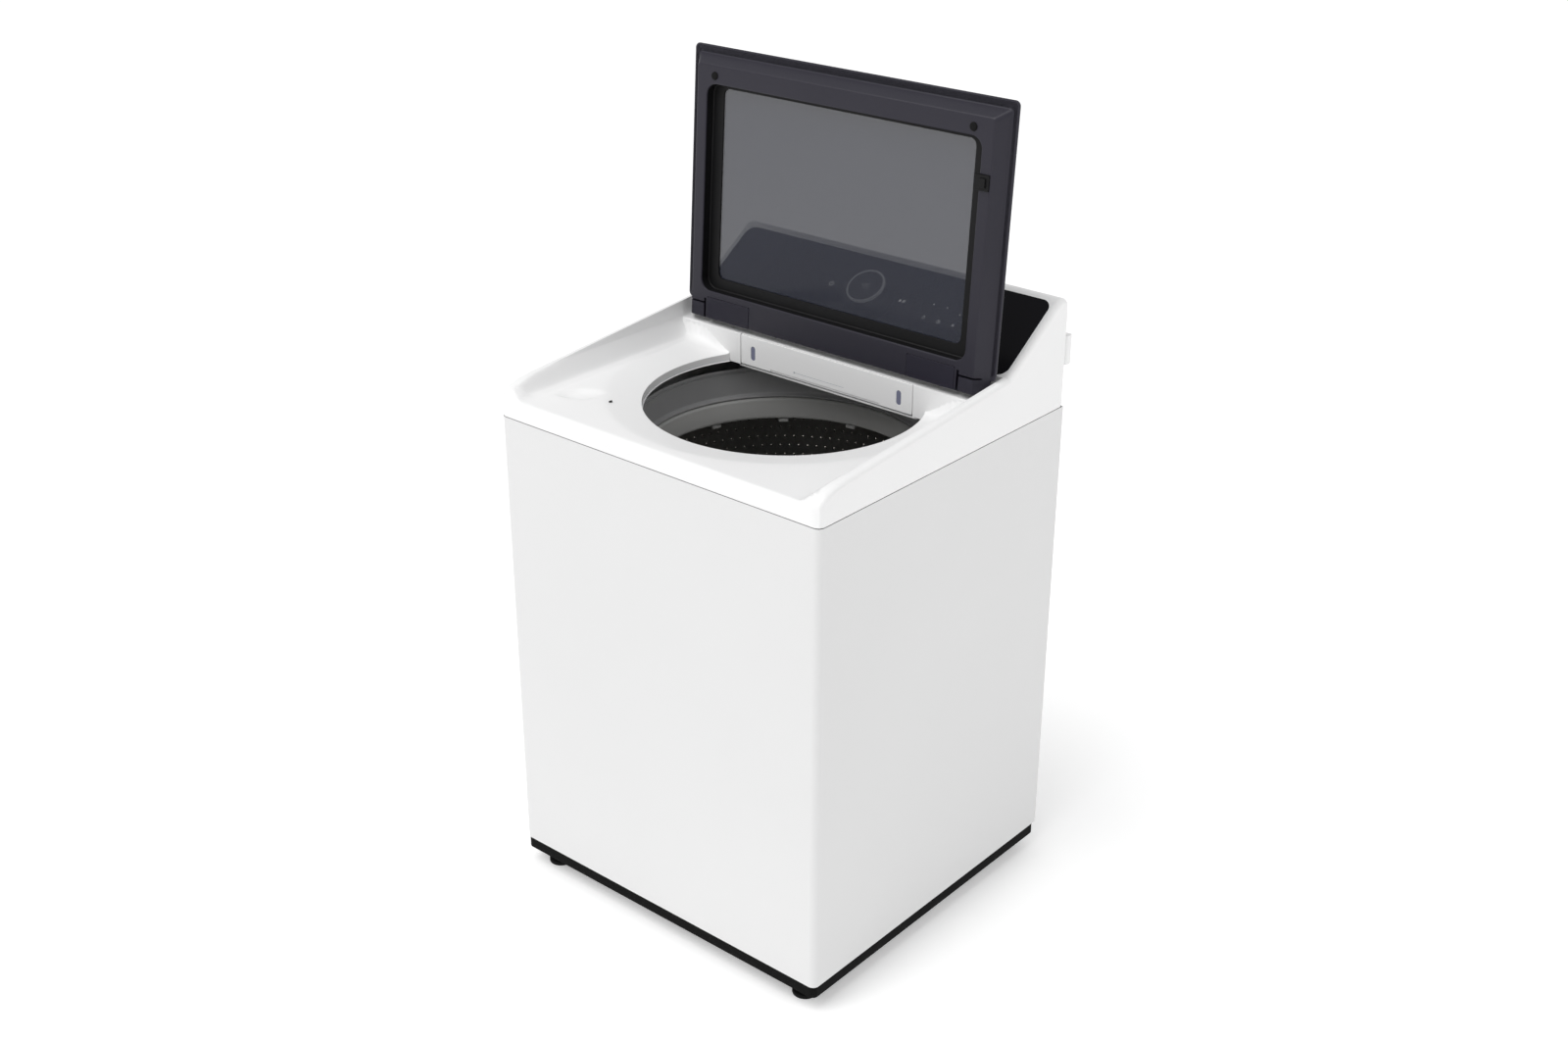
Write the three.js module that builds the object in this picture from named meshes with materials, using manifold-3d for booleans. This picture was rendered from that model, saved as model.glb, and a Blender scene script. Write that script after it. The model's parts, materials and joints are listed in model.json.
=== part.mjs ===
// Top load washing machine with its lid open.
// Millimetres, +X to the right seen from the front, +Y to the back, +Z up, floor at z = 0.
import * as THREE from 'three';
import { mergeVertices } from 'three/addons/utils/BufferGeometryUtils.js';
import Module from 'manifold-3d';

const wasm = await Module();
wasm.setup();

// ---- driving dimensions -------------------------------------------------------------------
const cabinet = { halfWidth: 343, halfDepth: 324, corner: 12, sheet: 1.2, bottom: 51, seam: 884 };
const base = { bottom: 29, inset: 1.5, rim: 42, footX: 293, footY: 286 };
const foot = { padRadius: 22, padHeight: 10, studRadius: 5.7, studTop: 64 };
const opening = { radius: 238, centreY: 1, rimZ: 904, flangeZ: 891, backY: 104 };
const deck = { z: 917, dishRadius: 300, wall: 3.5 };
const crest = { innerX: 329, y0: -240, z0: 946, slope: 0.0875 };
const slope = { angle: 34.66, footY: 155, footZ: 979, topY: 292.7, topZ: 1074.3, roundR: 20 };
const trough = { frontY: 104, backY: 156, floorZ: 947.5 };
const glassPanel = { halfWidth: 330, thick: 3, corner: 20 };
const dial = { downSlope: 79, radius: 39, height: 25 };
const lid = { halfWidth: 333.4, length: 478, lean: 3.61, topY: 156.2, topZ: 1427.2, depth: 22, glass: 4 };
const lidPivot = { y: 126.2, z: 978.4 };
const hinge = { x: 274.5, footY: 128, postHalf: 1.6, slotHalf: 2.3, pinRadius: 4 };
const hingeCover = { x: 220, halfWidth: 48, bottom: -470.5, top: -432.4, floor: 19.7, face: 23.4 };
const knuckle = { slitLow: -446, slitHigh: -442.6, slitFloor: 10, cornerRadius: 8 };
const lidBevel = { lipHalf: 322.8, faceHalf: 306, lipTop: -14, faceTop: -28 };
const lidWindow = { halfWidth: 285, top: -60, bottom: -421, corner: 20 };
const drawer = { halfWidth: 188, bottom: 893, top: 946.5, depth: 178 };
const tub = { radius: 300, wall: 3.5, bottom: 206, top: 822 };
const basket = { radius: 277, sheet: 0.8, bottom: 262, top: 808 };
const rod = { x: 264, y: 250, radius: 4, top: 842, capZ: 250, lugZ: 306 };
const sump = { x: 196, y: 120 };
const pump = { z: 94, top: 142, radius: 40 };
const drainPort = { x: 236, z: 168, radius: 15 };
const inlet = { xs: [-262, -196], z: 1002 };
const glandPlace = { x: 262, z: 918 };
const lock = { x0: 262, x1: 292, y0: -226, y1: -150 };
const rearReach = 341;
const gap = 0.3;
const originShiftY = -(rearReach - cabinet.halfDepth) / 2;

// ---- materials ----------------------------------------------------------------------------
const finish = (color, roughness, metalness = 0, opacity = 1) =>
  new THREE.MeshStandardMaterial({ color, roughness, metalness, opacity, transparent: opacity < 1 });
const paint = finish(0xf2f2f2, 0.35);
const whitePlastic = finish(0xf3f3f2, 0.4);
const blackPlastic = finish(0x1c1c20, 0.5);
const satinBlack = finish(0x2b2a30, 0.45);
const blackGlass = finish(0x0b0b0e, 0.08);
const tintedGlass = finish(0x3c4048, 0.05, 0, 0.5);
const tubPlastic = finish(0x56565a, 0.55);
const steel = finish(0xb9bbbe, 0.3, 1);
const zincSteel = finish(0x9a9da0, 0.45, 1);
const aluminium = finish(0xa8aaad, 0.5, 1);
const rubber = finish(0x18181a, 0.8);
const copper = finish(0x9b5a2c, 0.4, 1);
const boardGreen = finish(0x1f5b3a, 0.6);
const lightGrey = finish(0xb4b8bf, 0.3);
const pulsatorGrey = finish(0x8b8e93, 0.45);

// ---- geometry helpers ---------------------------------------------------------------------
const rad = THREE.MathUtils.degToRad;
const crestZ = (y) => crest.z0 + (y - crest.y0) * crest.slope;

function welded(geometry) {
  geometry.deleteAttribute('normal');
  geometry.deleteAttribute('uv');
  return mergeVertices(geometry, 1e-4);
}

// A closed geometry as a solid for joining and cutting, turned to face outward.
function solid(geometry) {
  const mesh = welded(geometry);
  const triVerts = new Uint32Array(mesh.index.array);
  const position = mesh.attributes.position;
  let volume = 0;
  const [a, b, c] = [new THREE.Vector3(), new THREE.Vector3(), new THREE.Vector3()];
  for (let i = 0; i < triVerts.length; i += 3) {
    a.fromBufferAttribute(position, triVerts[i]);
    b.fromBufferAttribute(position, triVerts[i + 1]);
    c.fromBufferAttribute(position, triVerts[i + 2]);
    volume += a.dot(b.cross(c));
  }
  if (volume < 0) triVerts.reverse();
  const vertProperties = new Float32Array(position.array);
  return new wasm.Manifold(new wasm.Mesh({ numProp: 3, vertProperties, triVerts }));
}

function geometryOf(manifold) {
  const mesh = manifold.getMesh();
  const geometry = new THREE.BufferGeometry();
  const stride = mesh.numProp;
  const count = mesh.vertProperties.length / stride;
  const position = new Float32Array(count * 3);
  for (let i = 0; i < count; i++) {
    for (let k = 0; k < 3; k++) position[i * 3 + k] = mesh.vertProperties[i * stride + k];
  }
  geometry.setAttribute('position', new THREE.BufferAttribute(position, 3));
  geometry.setIndex(new THREE.BufferAttribute(new Uint32Array(mesh.triVerts), 1));
  geometry.computeVertexNormals();
  return geometry;
}

const join = (...parts) => parts.reduce((whole, part) => whole.add(part));
const cut = (whole, ...tools) => tools.reduce((rest, tool) => rest.subtract(tool), whole);

function shapeOf(points) {
  return new THREE.Shape(points.map(([x, y]) => new THREE.Vector2(x, y)));
}

function boxSolid(x0, x1, y0, y1, z0, z1) {
  const geometry = new THREE.BoxGeometry(x1 - x0, y1 - y0, z1 - z0);
  geometry.translate((x0 + x1) / 2, (y0 + y1) / 2, (z0 + z1) / 2);
  return solid(geometry);
}

// A plan outline (x, y) raised from z0 to z1.
function extrudeZ(shape, z0, z1, curveSegments = 6) {
  const geometry = new THREE.ExtrudeGeometry(shape, { depth: z1 - z0, bevelEnabled: false, curveSegments });
  geometry.translate(0, 0, z0);
  return solid(geometry);
}

// A side outline (y, z) drawn out from x0 to x1.
function extrudeX(shape, x0, x1, curveSegments = 6) {
  const geometry = new THREE.ExtrudeGeometry(shape, { depth: x1 - x0, bevelEnabled: false, curveSegments });
  const turn = new THREE.Matrix4().makeBasis(
    new THREE.Vector3(0, 1, 0), new THREE.Vector3(0, 0, 1), new THREE.Vector3(1, 0, 0));
  geometry.applyMatrix4(turn);
  geometry.translate(x0, 0, 0);
  return solid(geometry);
}

// A front outline (x, z) drawn out from y0 to y1.
function extrudeY(shape, y0, y1, curveSegments = 6) {
  const geometry = new THREE.ExtrudeGeometry(shape, { depth: y1 - y0, bevelEnabled: false, curveSegments });
  geometry.rotateX(Math.PI / 2);
  geometry.translate(0, y1, 0);
  return solid(geometry);
}

// A profile of (radius, z) points turned about the z axis. A profile off the axis is closed.
function lathe(points, segments = 36) {
  const profile = points.map(([r, z]) => new THREE.Vector2(r, z));
  if (points[0][0] > 0) profile.push(profile[0].clone());
  const geometry = new THREE.LatheGeometry(profile, segments);
  geometry.rotateX(Math.PI / 2);
  return solid(geometry);
}

// A round bar between two points.
function bar(from, to, radius, segments = 16) {
  const start = new THREE.Vector3(...from);
  const end = new THREE.Vector3(...to);
  const geometry = new THREE.CylinderGeometry(radius, radius, start.distanceTo(end), segments);
  const direction = end.clone().sub(start).normalize();
  const turn = new THREE.Quaternion().setFromUnitVectors(new THREE.Vector3(0, 1, 0), direction);
  geometry.applyQuaternion(turn);
  geometry.translate((from[0] + to[0]) / 2, (from[1] + to[1]) / 2, (from[2] + to[2]) / 2);
  return solid(geometry);
}

function roundedRect(x0, x1, y0, y1, radius) {
  const shape = new THREE.Shape();
  shape.moveTo(x0 + radius, y0);
  shape.lineTo(x1 - radius, y0);
  shape.absarc(x1 - radius, y0 + radius, radius, -Math.PI / 2, 0);
  shape.lineTo(x1, y1 - radius);
  shape.absarc(x1 - radius, y1 - radius, radius, 0, Math.PI / 2);
  shape.lineTo(x0 + radius, y1);
  shape.absarc(x0 + radius, y1 - radius, radius, Math.PI / 2, Math.PI);
  shape.lineTo(x0, y0 + radius);
  shape.absarc(x0 + radius, y0 + radius, radius, Math.PI, 1.5 * Math.PI);
  return shape;
}

const washer = new THREE.Group();
washer.position.y = originShiftY;

function addPiece(parent, name, body, material) {
  const mesh = new THREE.Mesh(geometryOf(body), material);
  mesh.name = name;
  parent.add(mesh);
  return mesh;
}

const corners = [
  ['front_left', -1, -1],
  ['front_right', 1, -1],
  ['rear_left', -1, 1],
  ['rear_right', 1, 1],
];

// ---- cabinet ------------------------------------------------------------------------------
function cabinetShell() {
  const { halfWidth: w, halfDepth: d, corner: r, sheet: t, bottom, seam } = cabinet;
  const rear = d - 1;
  const lipWidth = 22;
  const outline = new THREE.Shape();
  outline.moveTo(-w, rear);
  outline.lineTo(-w, -d + r);
  outline.absarc(-w + r, -d + r, r, Math.PI, 1.5 * Math.PI);
  outline.lineTo(w - r, -d);
  outline.absarc(w - r, -d + r, r, -Math.PI / 2, 0);
  outline.lineTo(w, rear);
  outline.lineTo(w - lipWidth, rear);
  outline.lineTo(w - lipWidth, rear - t);
  outline.lineTo(w - t, rear - t);
  outline.lineTo(w - t, -d + r);
  outline.absarc(w - r, -d + r, r - t, 0, -Math.PI / 2, true);
  outline.lineTo(-w + r, -d + t);
  outline.absarc(-w + r, -d + r, r - t, 1.5 * Math.PI, Math.PI, true);
  outline.lineTo(-w + t, rear - t);
  outline.lineTo(-w + lipWidth, rear - t);
  outline.lineTo(-w + lipWidth, rear);
  const wrap = extrudeZ(outline, bottom + gap, seam - gap, 5);
  const brackets = corners.map(([, sx, sy]) => {
    const reachX = w - t / 2;
    const reachY = sy > 0 ? rear - t / 2 - 4 : d - t / 2;
    const plate = shapeOf([
      [sx * reachX, sy * (reachY - 10)],
      [sx * reachX, sy * 210],
      [sx * 322, sy * 205],
      [sx * 228, sy * 272],
      [sx * 236, sy * reachY],
      [sx * (reachX - 12), sy * reachY],
    ]);
    const hole = bar([sx * rod.x, sy * rod.y, 820], [sx * rod.x, sy * rod.y, 860], rod.radius + 1.5, 12);
    return cut(extrudeZ(plate, rod.top - 6, rod.top - 4), hole);
  });
  return join(wrap, ...brackets);
}

function baseFrame() {
  const w = cabinet.halfWidth - base.inset;
  const d = cabinet.halfDepth - base.inset;
  const outline = roundedRect(-w, w, -d, d, cabinet.corner - 1);
  const innerW = w - base.rim;
  const innerD = d - base.rim;
  const chamfer = 70;
  const inside = new THREE.Path([
    [-innerW + chamfer, -innerD], [-innerW, -innerD + chamfer], [-innerW, innerD - chamfer],
    [-innerW + chamfer, innerD], [innerW - chamfer, innerD], [innerW, innerD - chamfer],
    [innerW, -innerD + chamfer], [innerW - chamfer, -innerD],
  ].map(([x, y]) => new THREE.Vector2(x, y)));
  outline.holes.push(inside);
  for (const [, sx, sy] of corners) {
    const hole = new THREE.Path();
    hole.absarc(sx * base.footX, sy * base.footY, foot.studRadius + 0.5, 0, 2 * Math.PI, true);
    outline.holes.push(hole);
  }
  return extrudeZ(outline, base.bottom, cabinet.bottom, 5);
}

function rearPanel() {
  const halfWidth = cabinet.halfWidth - 3;
  const back = cabinet.halfDepth - 2.5;
  const top = cabinet.seam - 1;
  const sheet = shapeOf([[-halfWidth, 60], [halfWidth, 60], [halfWidth, top], [-halfWidth, top]]);
  const portHole = new THREE.Path();
  portHole.absarc(drainPort.x, drainPort.z, drainPort.radius + 3.4, 0, 2 * Math.PI, true);
  sheet.holes.push(portHole);
  return extrudeY(sheet, back - 1.2, back, 6);
}

function drainOutlet() {
  const { x, z, radius } = drainPort;
  const tube = bar([x, 262, z], [x, 334, z], radius, 14);
  const collar = bar([x, 322.2, z], [x, 326, z], radius + 8, 14);
  const neck = bar([x, 316, z], [x, 323, z], radius + 2, 14);
  const bore = bar([x, 255, z], [x, 340, z], radius - 3, 14);
  return cut(join(tube, collar, neck), bore);
}

function levellingFoot(sx, sy) {
  const { padRadius, padHeight, studRadius, studTop } = foot;
  const body = lathe([
    [0, 0], [padRadius, 0], [padRadius, padHeight - 3], [12, padHeight], [12, padHeight + 9],
    [studRadius, padHeight + 9], [studRadius, studTop], [0, studTop],
  ], 10);
  return body.translate([sx * base.footX, sy * base.footY, 0]);
}

// ---- top cover ----------------------------------------------------------------------------
// The side outline: front corner, cheek crest, console slope and rounded back edge.
function coverOutline() {
  const { topY, topZ, roundR, angle } = slope;
  const d = cabinet.halfDepth;
  const normalAngle = rad(90 + angle);
  const centreY = topY - roundR * Math.cos(normalAngle);
  const centreZ = topZ - roundR * Math.sin(normalAngle);
  const kneeY = 157.6;
  const outline = new THREE.Shape();
  outline.moveTo(-d, cabinet.seam + gap);
  outline.lineTo(-d, 909);
  outline.bezierCurveTo(-d, 924, -320, 932, -302, 936);
  outline.bezierCurveTo(-284, 940, -268, crestZ(-268), crest.y0, crestZ(crest.y0));
  outline.lineTo(kneeY, crestZ(kneeY));
  outline.lineTo(topY, topZ);
  outline.absarc(centreY, centreZ, roundR, normalAngle, 0, true);
  outline.lineTo(centreY + roundR, cabinet.seam + gap);
  return outline;
}

// Everything above the deck between the two cheeks.
function deckClearance() {
  const top = 1010;
  const section = new THREE.Shape();
  section.moveTo(-cabinet.halfDepth - 6, 902);
  section.lineTo(-cabinet.halfDepth - 0.01, 906);
  section.quadraticCurveTo(-cabinet.halfDepth, deck.z, -cabinet.halfDepth + 12, deck.z);
  section.lineTo(opening.backY, deck.z);
  section.lineTo(opening.backY, top);
  section.lineTo(-cabinet.halfDepth - 6, top);
  const along = extrudeX(section, -crest.innerX, crest.innerX, 5);
  const across = extrudeY(shapeOf([
    [-crest.innerX, top], [-crest.innerX, 950], [-314, 928], [-308, 921], [-300, deck.z], [-292, 890],
    [292, 890], [300, deck.z], [308, 921], [314, 928], [crest.innerX, 950], [crest.innerX, top],
  ]), -cabinet.halfDepth - 10, opening.backY);
  return along.intersect(across);
}

function dishCone() {
  return lathe([
    [0, opening.rimZ], [opening.radius, opening.rimZ], [opening.radius + 6, opening.rimZ + 0.6],
    [deck.dishRadius - 6, deck.z - 0.9], [deck.dishRadius + 1, deck.z + 0.2], [deck.dishRadius + 1, 925],
    [0, 925],
  ]).translate([0, opening.centreY, 0]).intersect(boxSolid(-330, 330, -330, opening.backY, 880, 930));
}

function openingCutter() {
  const round = bar([0, opening.centreY, 870], [0, opening.centreY, 950], opening.radius, 48);
  return round.intersect(boxSolid(-260, 260, -260, opening.backY, 860, 960));
}

// A shallow bowl beside the dish for liquid bleach, grown by the wall thickness for its cup.
function bleachBowl(grow = 0) {
  const geometry = new THREE.SphereGeometry(1, 16, 8);
  geometry.scale(44 + grow, 26 + grow, 12 + grow);
  geometry.rotateZ(rad(43));
  geometry.translate(-249, -225, deck.z + 2);
  return solid(geometry);
}

function coverHollows() {
  const w = cabinet.halfWidth - deck.wall;
  const d = cabinet.halfDepth - deck.wall;
  const under = deck.z - deck.wall;
  const rimGuard = lathe([
    [0, opening.flangeZ], [opening.radius + 4, opening.flangeZ], [opening.radius + 4, 900.5],
    [deck.dishRadius + 3, under], [deck.dishRadius + 3, 940], [0, 940],
  ]).translate([0, opening.centreY, 0]);
  const front = join(
    boxSolid(-w, w, -d, opening.backY, 870, 902),
    boxSolid(-294, 294, -d + 10, opening.backY, 900, under),
  );
  const cheekSpace = shapeOf([
    [-308, 870], [-308, 922], [-292, 930], [crest.y0, crestZ(crest.y0) - 5],
    [150, crestZ(150) - 5], [150, 870],
  ]);
  const cheekInner = crest.innerX + deck.wall;
  const cheeks = [extrudeX(cheekSpace, cheekInner, w), extrudeX(cheekSpace, -w, -cheekInner)];
  const underTrough = boxSolid(-w, w, trough.frontY + deck.wall, 160, 870, trough.floorZ - 3);
  const consoleSpace = extrudeX(shapeOf([
    [trough.backY + deck.wall, 870], [trough.backY + deck.wall, 968], [288, 1059.5], [307, 1066],
    [318, 1056], [340, 1052], [340, 870],
  ]), -w, w);
  return [cut(front, rimGuard, bleachBowl(deck.wall)), ...cheeks, underTrough, consoleSpace];
}

function topCover() {
  const w = cabinet.halfWidth;
  const plan = roundedRect(-w, w, -cabinet.halfDepth, cabinet.halfDepth, cabinet.corner);
  const block = extrudeX(coverOutline(), -w, w, 6).intersect(extrudeZ(plan, 880, 1090, 5));
  const troughSpace = boxSolid(
    -crest.innerX, crest.innerX, trough.frontY - 1, trough.backY, trough.floorZ, 1010);
  const drawerMouth = boxSolid(-drawer.halfWidth - 1.5, drawer.halfWidth + 1.5, 100, 108.5, 870, 960);
  const slabDepth = glassPanel.thick + gap;
  const glassSeat = onSlope(extrudeZ(
    glassOutline(glassPanel.halfWidth + gap, 0.4), -slabDepth, 30, 6));
  const body = cut(
    block, deckClearance(), dishCone(), openingCutter(), troughSpace, drawerMouth, glassSeat,
    bleachBowl(), ...coverHollows());
  const dialHole = onSlope(bar([0, -dial.downSlope, -30], [0, -dial.downSlope, 10], 7, 16));
  const pegHoles = [-1, 1].map((side) => boxSolid(
    side * hinge.x - 19, side * hinge.x + 19, hinge.footY - 1, hinge.footY + 17, 930, 960));
  return cut(body, dialHole, ...pegHoles);
}

// ---- console ------------------------------------------------------------------------------
// Moves a solid drawn flat (x, up the slope, outward) to the console slope, its top edge at v = 0.
function onSlope(body) {
  const angle = rad(slope.angle);
  const matrix = new THREE.Matrix4().makeBasis(
    new THREE.Vector3(1, 0, 0),
    new THREE.Vector3(0, Math.cos(angle), Math.sin(angle)),
    new THREE.Vector3(0, -Math.sin(angle), Math.cos(angle)));
  matrix.setPosition(0, slope.topY, slope.topZ);
  return body.transform(matrix.elements);
}

function glassOutline(halfWidth, grow) {
  const length = (slope.topY - slope.footY) / Math.cos(rad(slope.angle)) - 3;
  return roundedRect(-halfWidth, halfWidth, -length - grow, grow - 1, glassPanel.corner);
}

function controlGlass() {
  const plate = extrudeZ(glassOutline(glassPanel.halfWidth, 0), -glassPanel.thick, 0, 5);
  const shaftHole = bar([0, -dial.downSlope, -10], [0, -dial.downSlope, 10], 6, 12);
  return onSlope(plate.subtract(shaftHole));
}

function dialKnob() {
  const { radius: r, height: h } = dial;
  const body = lathe([
    [0, -16], [5, -16], [5, 1.2], [r - 2, 1.2], [r - 1, 2.2], [r - 3.4, h - 6], [r - 8, h - 6],
    [r - 8, h - 1.5], [0, h - 1.5],
  ], 24);
  return onSlope(body.translate([0, -dial.downSlope, 0]));
}

function dialRing() {
  const { radius: r, height: h } = dial;
  const body = lathe([
    [r - 3.6, h - 5.6], [r - 3.6, h - 1], [r - 5, h], [r - 7.5, h], [r - 7.5, h - 5.6],
  ], 24);
  return onSlope(body.translate([0, -dial.downSlope, 0]));
}

function controlBoard() {
  const [top, length, halfWidth] = [-20, 118, 230];
  const outline = shapeOf([
    [-halfWidth, top - length], [halfWidth, top - length], [halfWidth, top], [-halfWidth, top],
  ]);
  const board = extrudeZ(outline, -22, -18);
  const shaftHole = bar([0, -dial.downSlope, -30], [0, -dial.downSlope, 10], 9, 16);
  return onSlope(board.subtract(shaftHole));
}

function consoleBack() {
  const plate = boxSolid(-338.8, 338.8, 320.3, 323.4, 886, 1051.5);
  const hookX = 330;
  const neck = boxSolid(hookX - 12, hookX + 8, 322, 326, 960, 1004);
  const hook = extrudeZ(roundedRect(hookX - 14, hookX + 12, 324.6, rearReach, 6), 956, 1007, 4);
  const valveHoles = inlet.xs.map((x) => bar([x, 310, inlet.z], [x, 330, inlet.z], 18.5, 14));
  const glandHole = bar([glandPlace.x, 310, glandPlace.z], [glandPlace.x, 330, glandPlace.z], 10.4, 16);
  return cut(join(plate, neck, hook), ...valveHoles, glandHole);
}

function inletValve(x) {
  const { z } = inlet;
  const block = boxSolid(x - 19, x + 19, 274, 313, z - 22, z + 22);
  const stem = bar([x, 300, z], [x, 339, z], 13.2, 14);
  const flange = bar([x, 312, z], [x, 319.9, z], 24, 14);
  const outlet = bar([x, 288, z - 40], [x, 288, z - 10], 8, 10);
  const coil = boxSolid(x - 13, x + 13, 246, 275, z - 16, z + 12);
  const bore = bar([x, 318, z], [x, 345, z], 10, 12);
  return cut(join(block, stem, flange, outlet, coil), bore);
}

function cordGland() {
  const { x, z } = glandPlace;
  const sleeve = bar([x, 308, z], [x, 333, z], 10, 16);
  const head = bar([x, 323.8, z], [x, 333, z], 14, 16);
  const bore = bar([x, 300, z], [x, 340, z], 5.2, 14);
  return cut(join(sleeve, head), bore);
}

function pressureSensor() {
  const can = bar([304, 250, 930], [304, 250, 948], 22, 20);
  const nipple = bar([304, 250, 912], [304, 250, 931], 4, 12);
  return join(can, nipple);
}

// ---- dispenser ----------------------------------------------------------------------------
function dispenserHousing() {
  const outer = boxSolid(-195, 195, 108.9, 300, 886, 944.2);
  const inner = boxSolid(-191.5, 191.5, 100, 297, 889.5, 942.6);
  const lowerPort = bar([0, 230, 870], [0, 230, 900], 14, 20);
  const nozzle = cut(bar([0, 230, 872], [0, 230, 887], 17, 20), lowerPort);
  return join(cut(outer, inner, lowerPort), nozzle);
}

function drawerFront() {
  const face = extrudeY(roundedRect(
    -drawer.halfWidth, drawer.halfWidth, drawer.bottom, drawer.top, 3), trough.frontY, 108.2, 3);
  const lip = boxSolid(-120, 120, 104, 106.4, drawer.bottom - 1, drawer.bottom + 4);
  return face.subtract(lip);
}

function drawerTray() {
  const { halfWidth: w, depth, bottom } = drawer;
  const [y0, y1] = [108.5, 108.5 + depth];
  const top = 934;
  const outer = boxSolid(-w + 3, w - 3, y0, y1, bottom, top);
  const rooms = [
    boxSolid(-w + 6, 27, y0 + 3, y1 - 3, bottom + 3, top + 5),
    boxSolid(30, w - 6, y0 + 3, y1 - 3, bottom + 3, top + 5),
  ];
  return cut(outer, ...rooms);
}

function tankCap(x0, x1) {
  const [y0, y1] = [111, 108.5 + drawer.depth - 2.5];
  const plate = boxSolid(x0, x1, y0, y1, 934.3, 936.5);
  const midX = (x0 + x1) / 2;
  const grip = boxSolid(midX - 24, midX + 24, y0 + 6, y0 + 11, 936.4, 941);
  const fill = boxSolid(midX - 34, midX + 34, y0 + 30, y0 + 84, 930, 940);
  return join(plate, grip).subtract(fill);
}

// ---- lid lock and hinges on the cabinet ---------------------------------------------------
function lidLock() {
  const { x0, x1, y0, y1 } = lock;
  const housing = boxSolid(x0, x1, y0, y1, 884.8, 902.8);
  return housing.subtract(boxSolid(x0 + 8, x1 - 8, y0 + 26, y1 - 26, 895, 910));
}

function hingeBracket(side) {
  const x = side * hinge.x;
  const [y0, y1] = [hinge.footY, hinge.footY + 16];
  const { y, z } = lidPivot;
  const peg = boxSolid(x - 18, x + 18, y0, y1, 930.6, 947);
  const post = extrudeX(shapeOf([
    [y0, 946], [y1, 946], [y + 8, z + 3], [y, z + 9], [y - 8, z + 3],
  ]), x - hinge.postHalf, x + hinge.postHalf);
  const plate = boxSolid(x - 24, x + 24, y0 - 13, y1 + 8, 929, 931.2);
  const bore = bar([x - 10, y, z], [x + 10, y, z], hinge.pinRadius + 0.09, 32);
  return cut(join(peg, post, plate), bore);
}

// ---- lid ----------------------------------------------------------------------------------
// Lid pieces are drawn in the lid's own plane: x, u up the lid from its bottom edge at -length,
// and t out of the plane towards the drum side.
const lidGroup = new THREE.Group();
lidGroup.position.set(0, lid.topY, lid.topZ);
lidGroup.rotation.x = Math.PI / 2 - rad(lid.lean);
washer.add(lidGroup);

const lean = rad(lid.lean);
const pivotFromTop = { y: lidPivot.y - lid.topY, z: lidPivot.z - lid.topZ };
const pivotU = pivotFromTop.y * Math.sin(lean) + pivotFromTop.z * Math.cos(lean);
const pivotT = -pivotFromTop.y * Math.cos(lean) + pivotFromTop.z * Math.sin(lean);
const lipEndU = pivotU + 2;

function lidFrame() {
  const w = lid.halfWidth;
  const lipPlate = extrudeZ(roundedRect(-w, w, lipEndU, 0, 9), -lid.glass, 0, 4);
  const glassSeat = extrudeZ(roundedRect(-w + 3, w - 3, lipEndU + 8, -3, 7), -lid.glass - 1, 0, 4);
  const sight = extrudeZ(roundedRect(-262, 262, -401, -68, 12), -10, 40, 4);
  const { halfWidth, bottom, top, corner } = lidWindow;
  const recess = extrudeZ(roundedRect(-halfWidth, halfWidth, bottom, top, corner), 3, 40, 5);
  const pockets = [-1, 1].flatMap((side) => {
    const x = side * hinge.x;
    const coverX = side * hingeCover.x;
    const coverHalf = hingeCover.halfWidth + gap;
    const slitEnds = [side * (hinge.x + 1), side * (lid.halfWidth - 4)].sort((a, b) => a - b);
    return [
      boxSolid(x - hinge.slotHalf, x + hinge.slotHalf, pivotU - 60, pivotU + 14, -30, 40),
      boxSolid(...slitEnds, knuckle.slitLow, knuckle.slitHigh, knuckle.slitFloor, 40),
      boxSolid(coverX - coverHalf, coverX + coverHalf,
        hingeCover.bottom - gap, hingeCover.top + gap, hingeCover.floor - gap, 40),
    ];
  });
  const pinBores = [-1, 1].map((side) => bar(
    [side * hinge.x - 30, pivotU, pivotT], [side * hinge.x + 30, pivotU, pivotT],
    hinge.pinRadius + gap, 12));
  return cut(join(lipPlate, lidInnerFrame()), glassSeat, sight, recess, ...pockets, ...pinBores);
}

// The raised inner frame and the tail below it. Its sides and top edge taper towards its face,
// and the tail's end is rounded off in plan and in section.
function lidInnerFrame() {
  const { lipHalf, faceHalf, lipTop, faceTop } = lidBevel;
  const across = extrudeY(shapeOf([
    [-lipHalf, -lid.glass], [lipHalf, -lid.glass], [lipHalf, 0],
    [faceHalf, lid.depth], [-faceHalf, lid.depth], [-lipHalf, 0],
  ]), -lid.length, 0);
  const along = extrudeX(shapeOf([
    [-lid.length + 6, -lid.glass], [lipEndU, -lid.glass], [lipEndU, -1], [lipTop, -1], [lipTop, 0],
    [faceTop, lid.depth], [-470, lid.depth], [-lid.length, 4], [-lid.length + 1, 0],
  ]), -lipHalf - 5, lipHalf + 5);
  const plan = extrudeZ(roundedRect(-lipHalf, lipHalf, -lid.length, 10, knuckle.cornerRadius), -10, 30, 4);
  return across.intersect(along).intersect(plan);
}

function lidGlass() {
  const w = lid.halfWidth - 3 - gap;
  return extrudeZ(roundedRect(-w, w, lipEndU + 8 + gap, -3 - gap, 6.6), -lid.glass, -gap, 5);
}

function lidBumper(side) {
  const seat = lid.depth + gap;
  const body = lathe([[0, seat], [7, seat], [6.5, seat + 1.6], [0, seat + 2.4]], 16);
  return body.translate([side * 267.4, -46, 0]);
}

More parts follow.
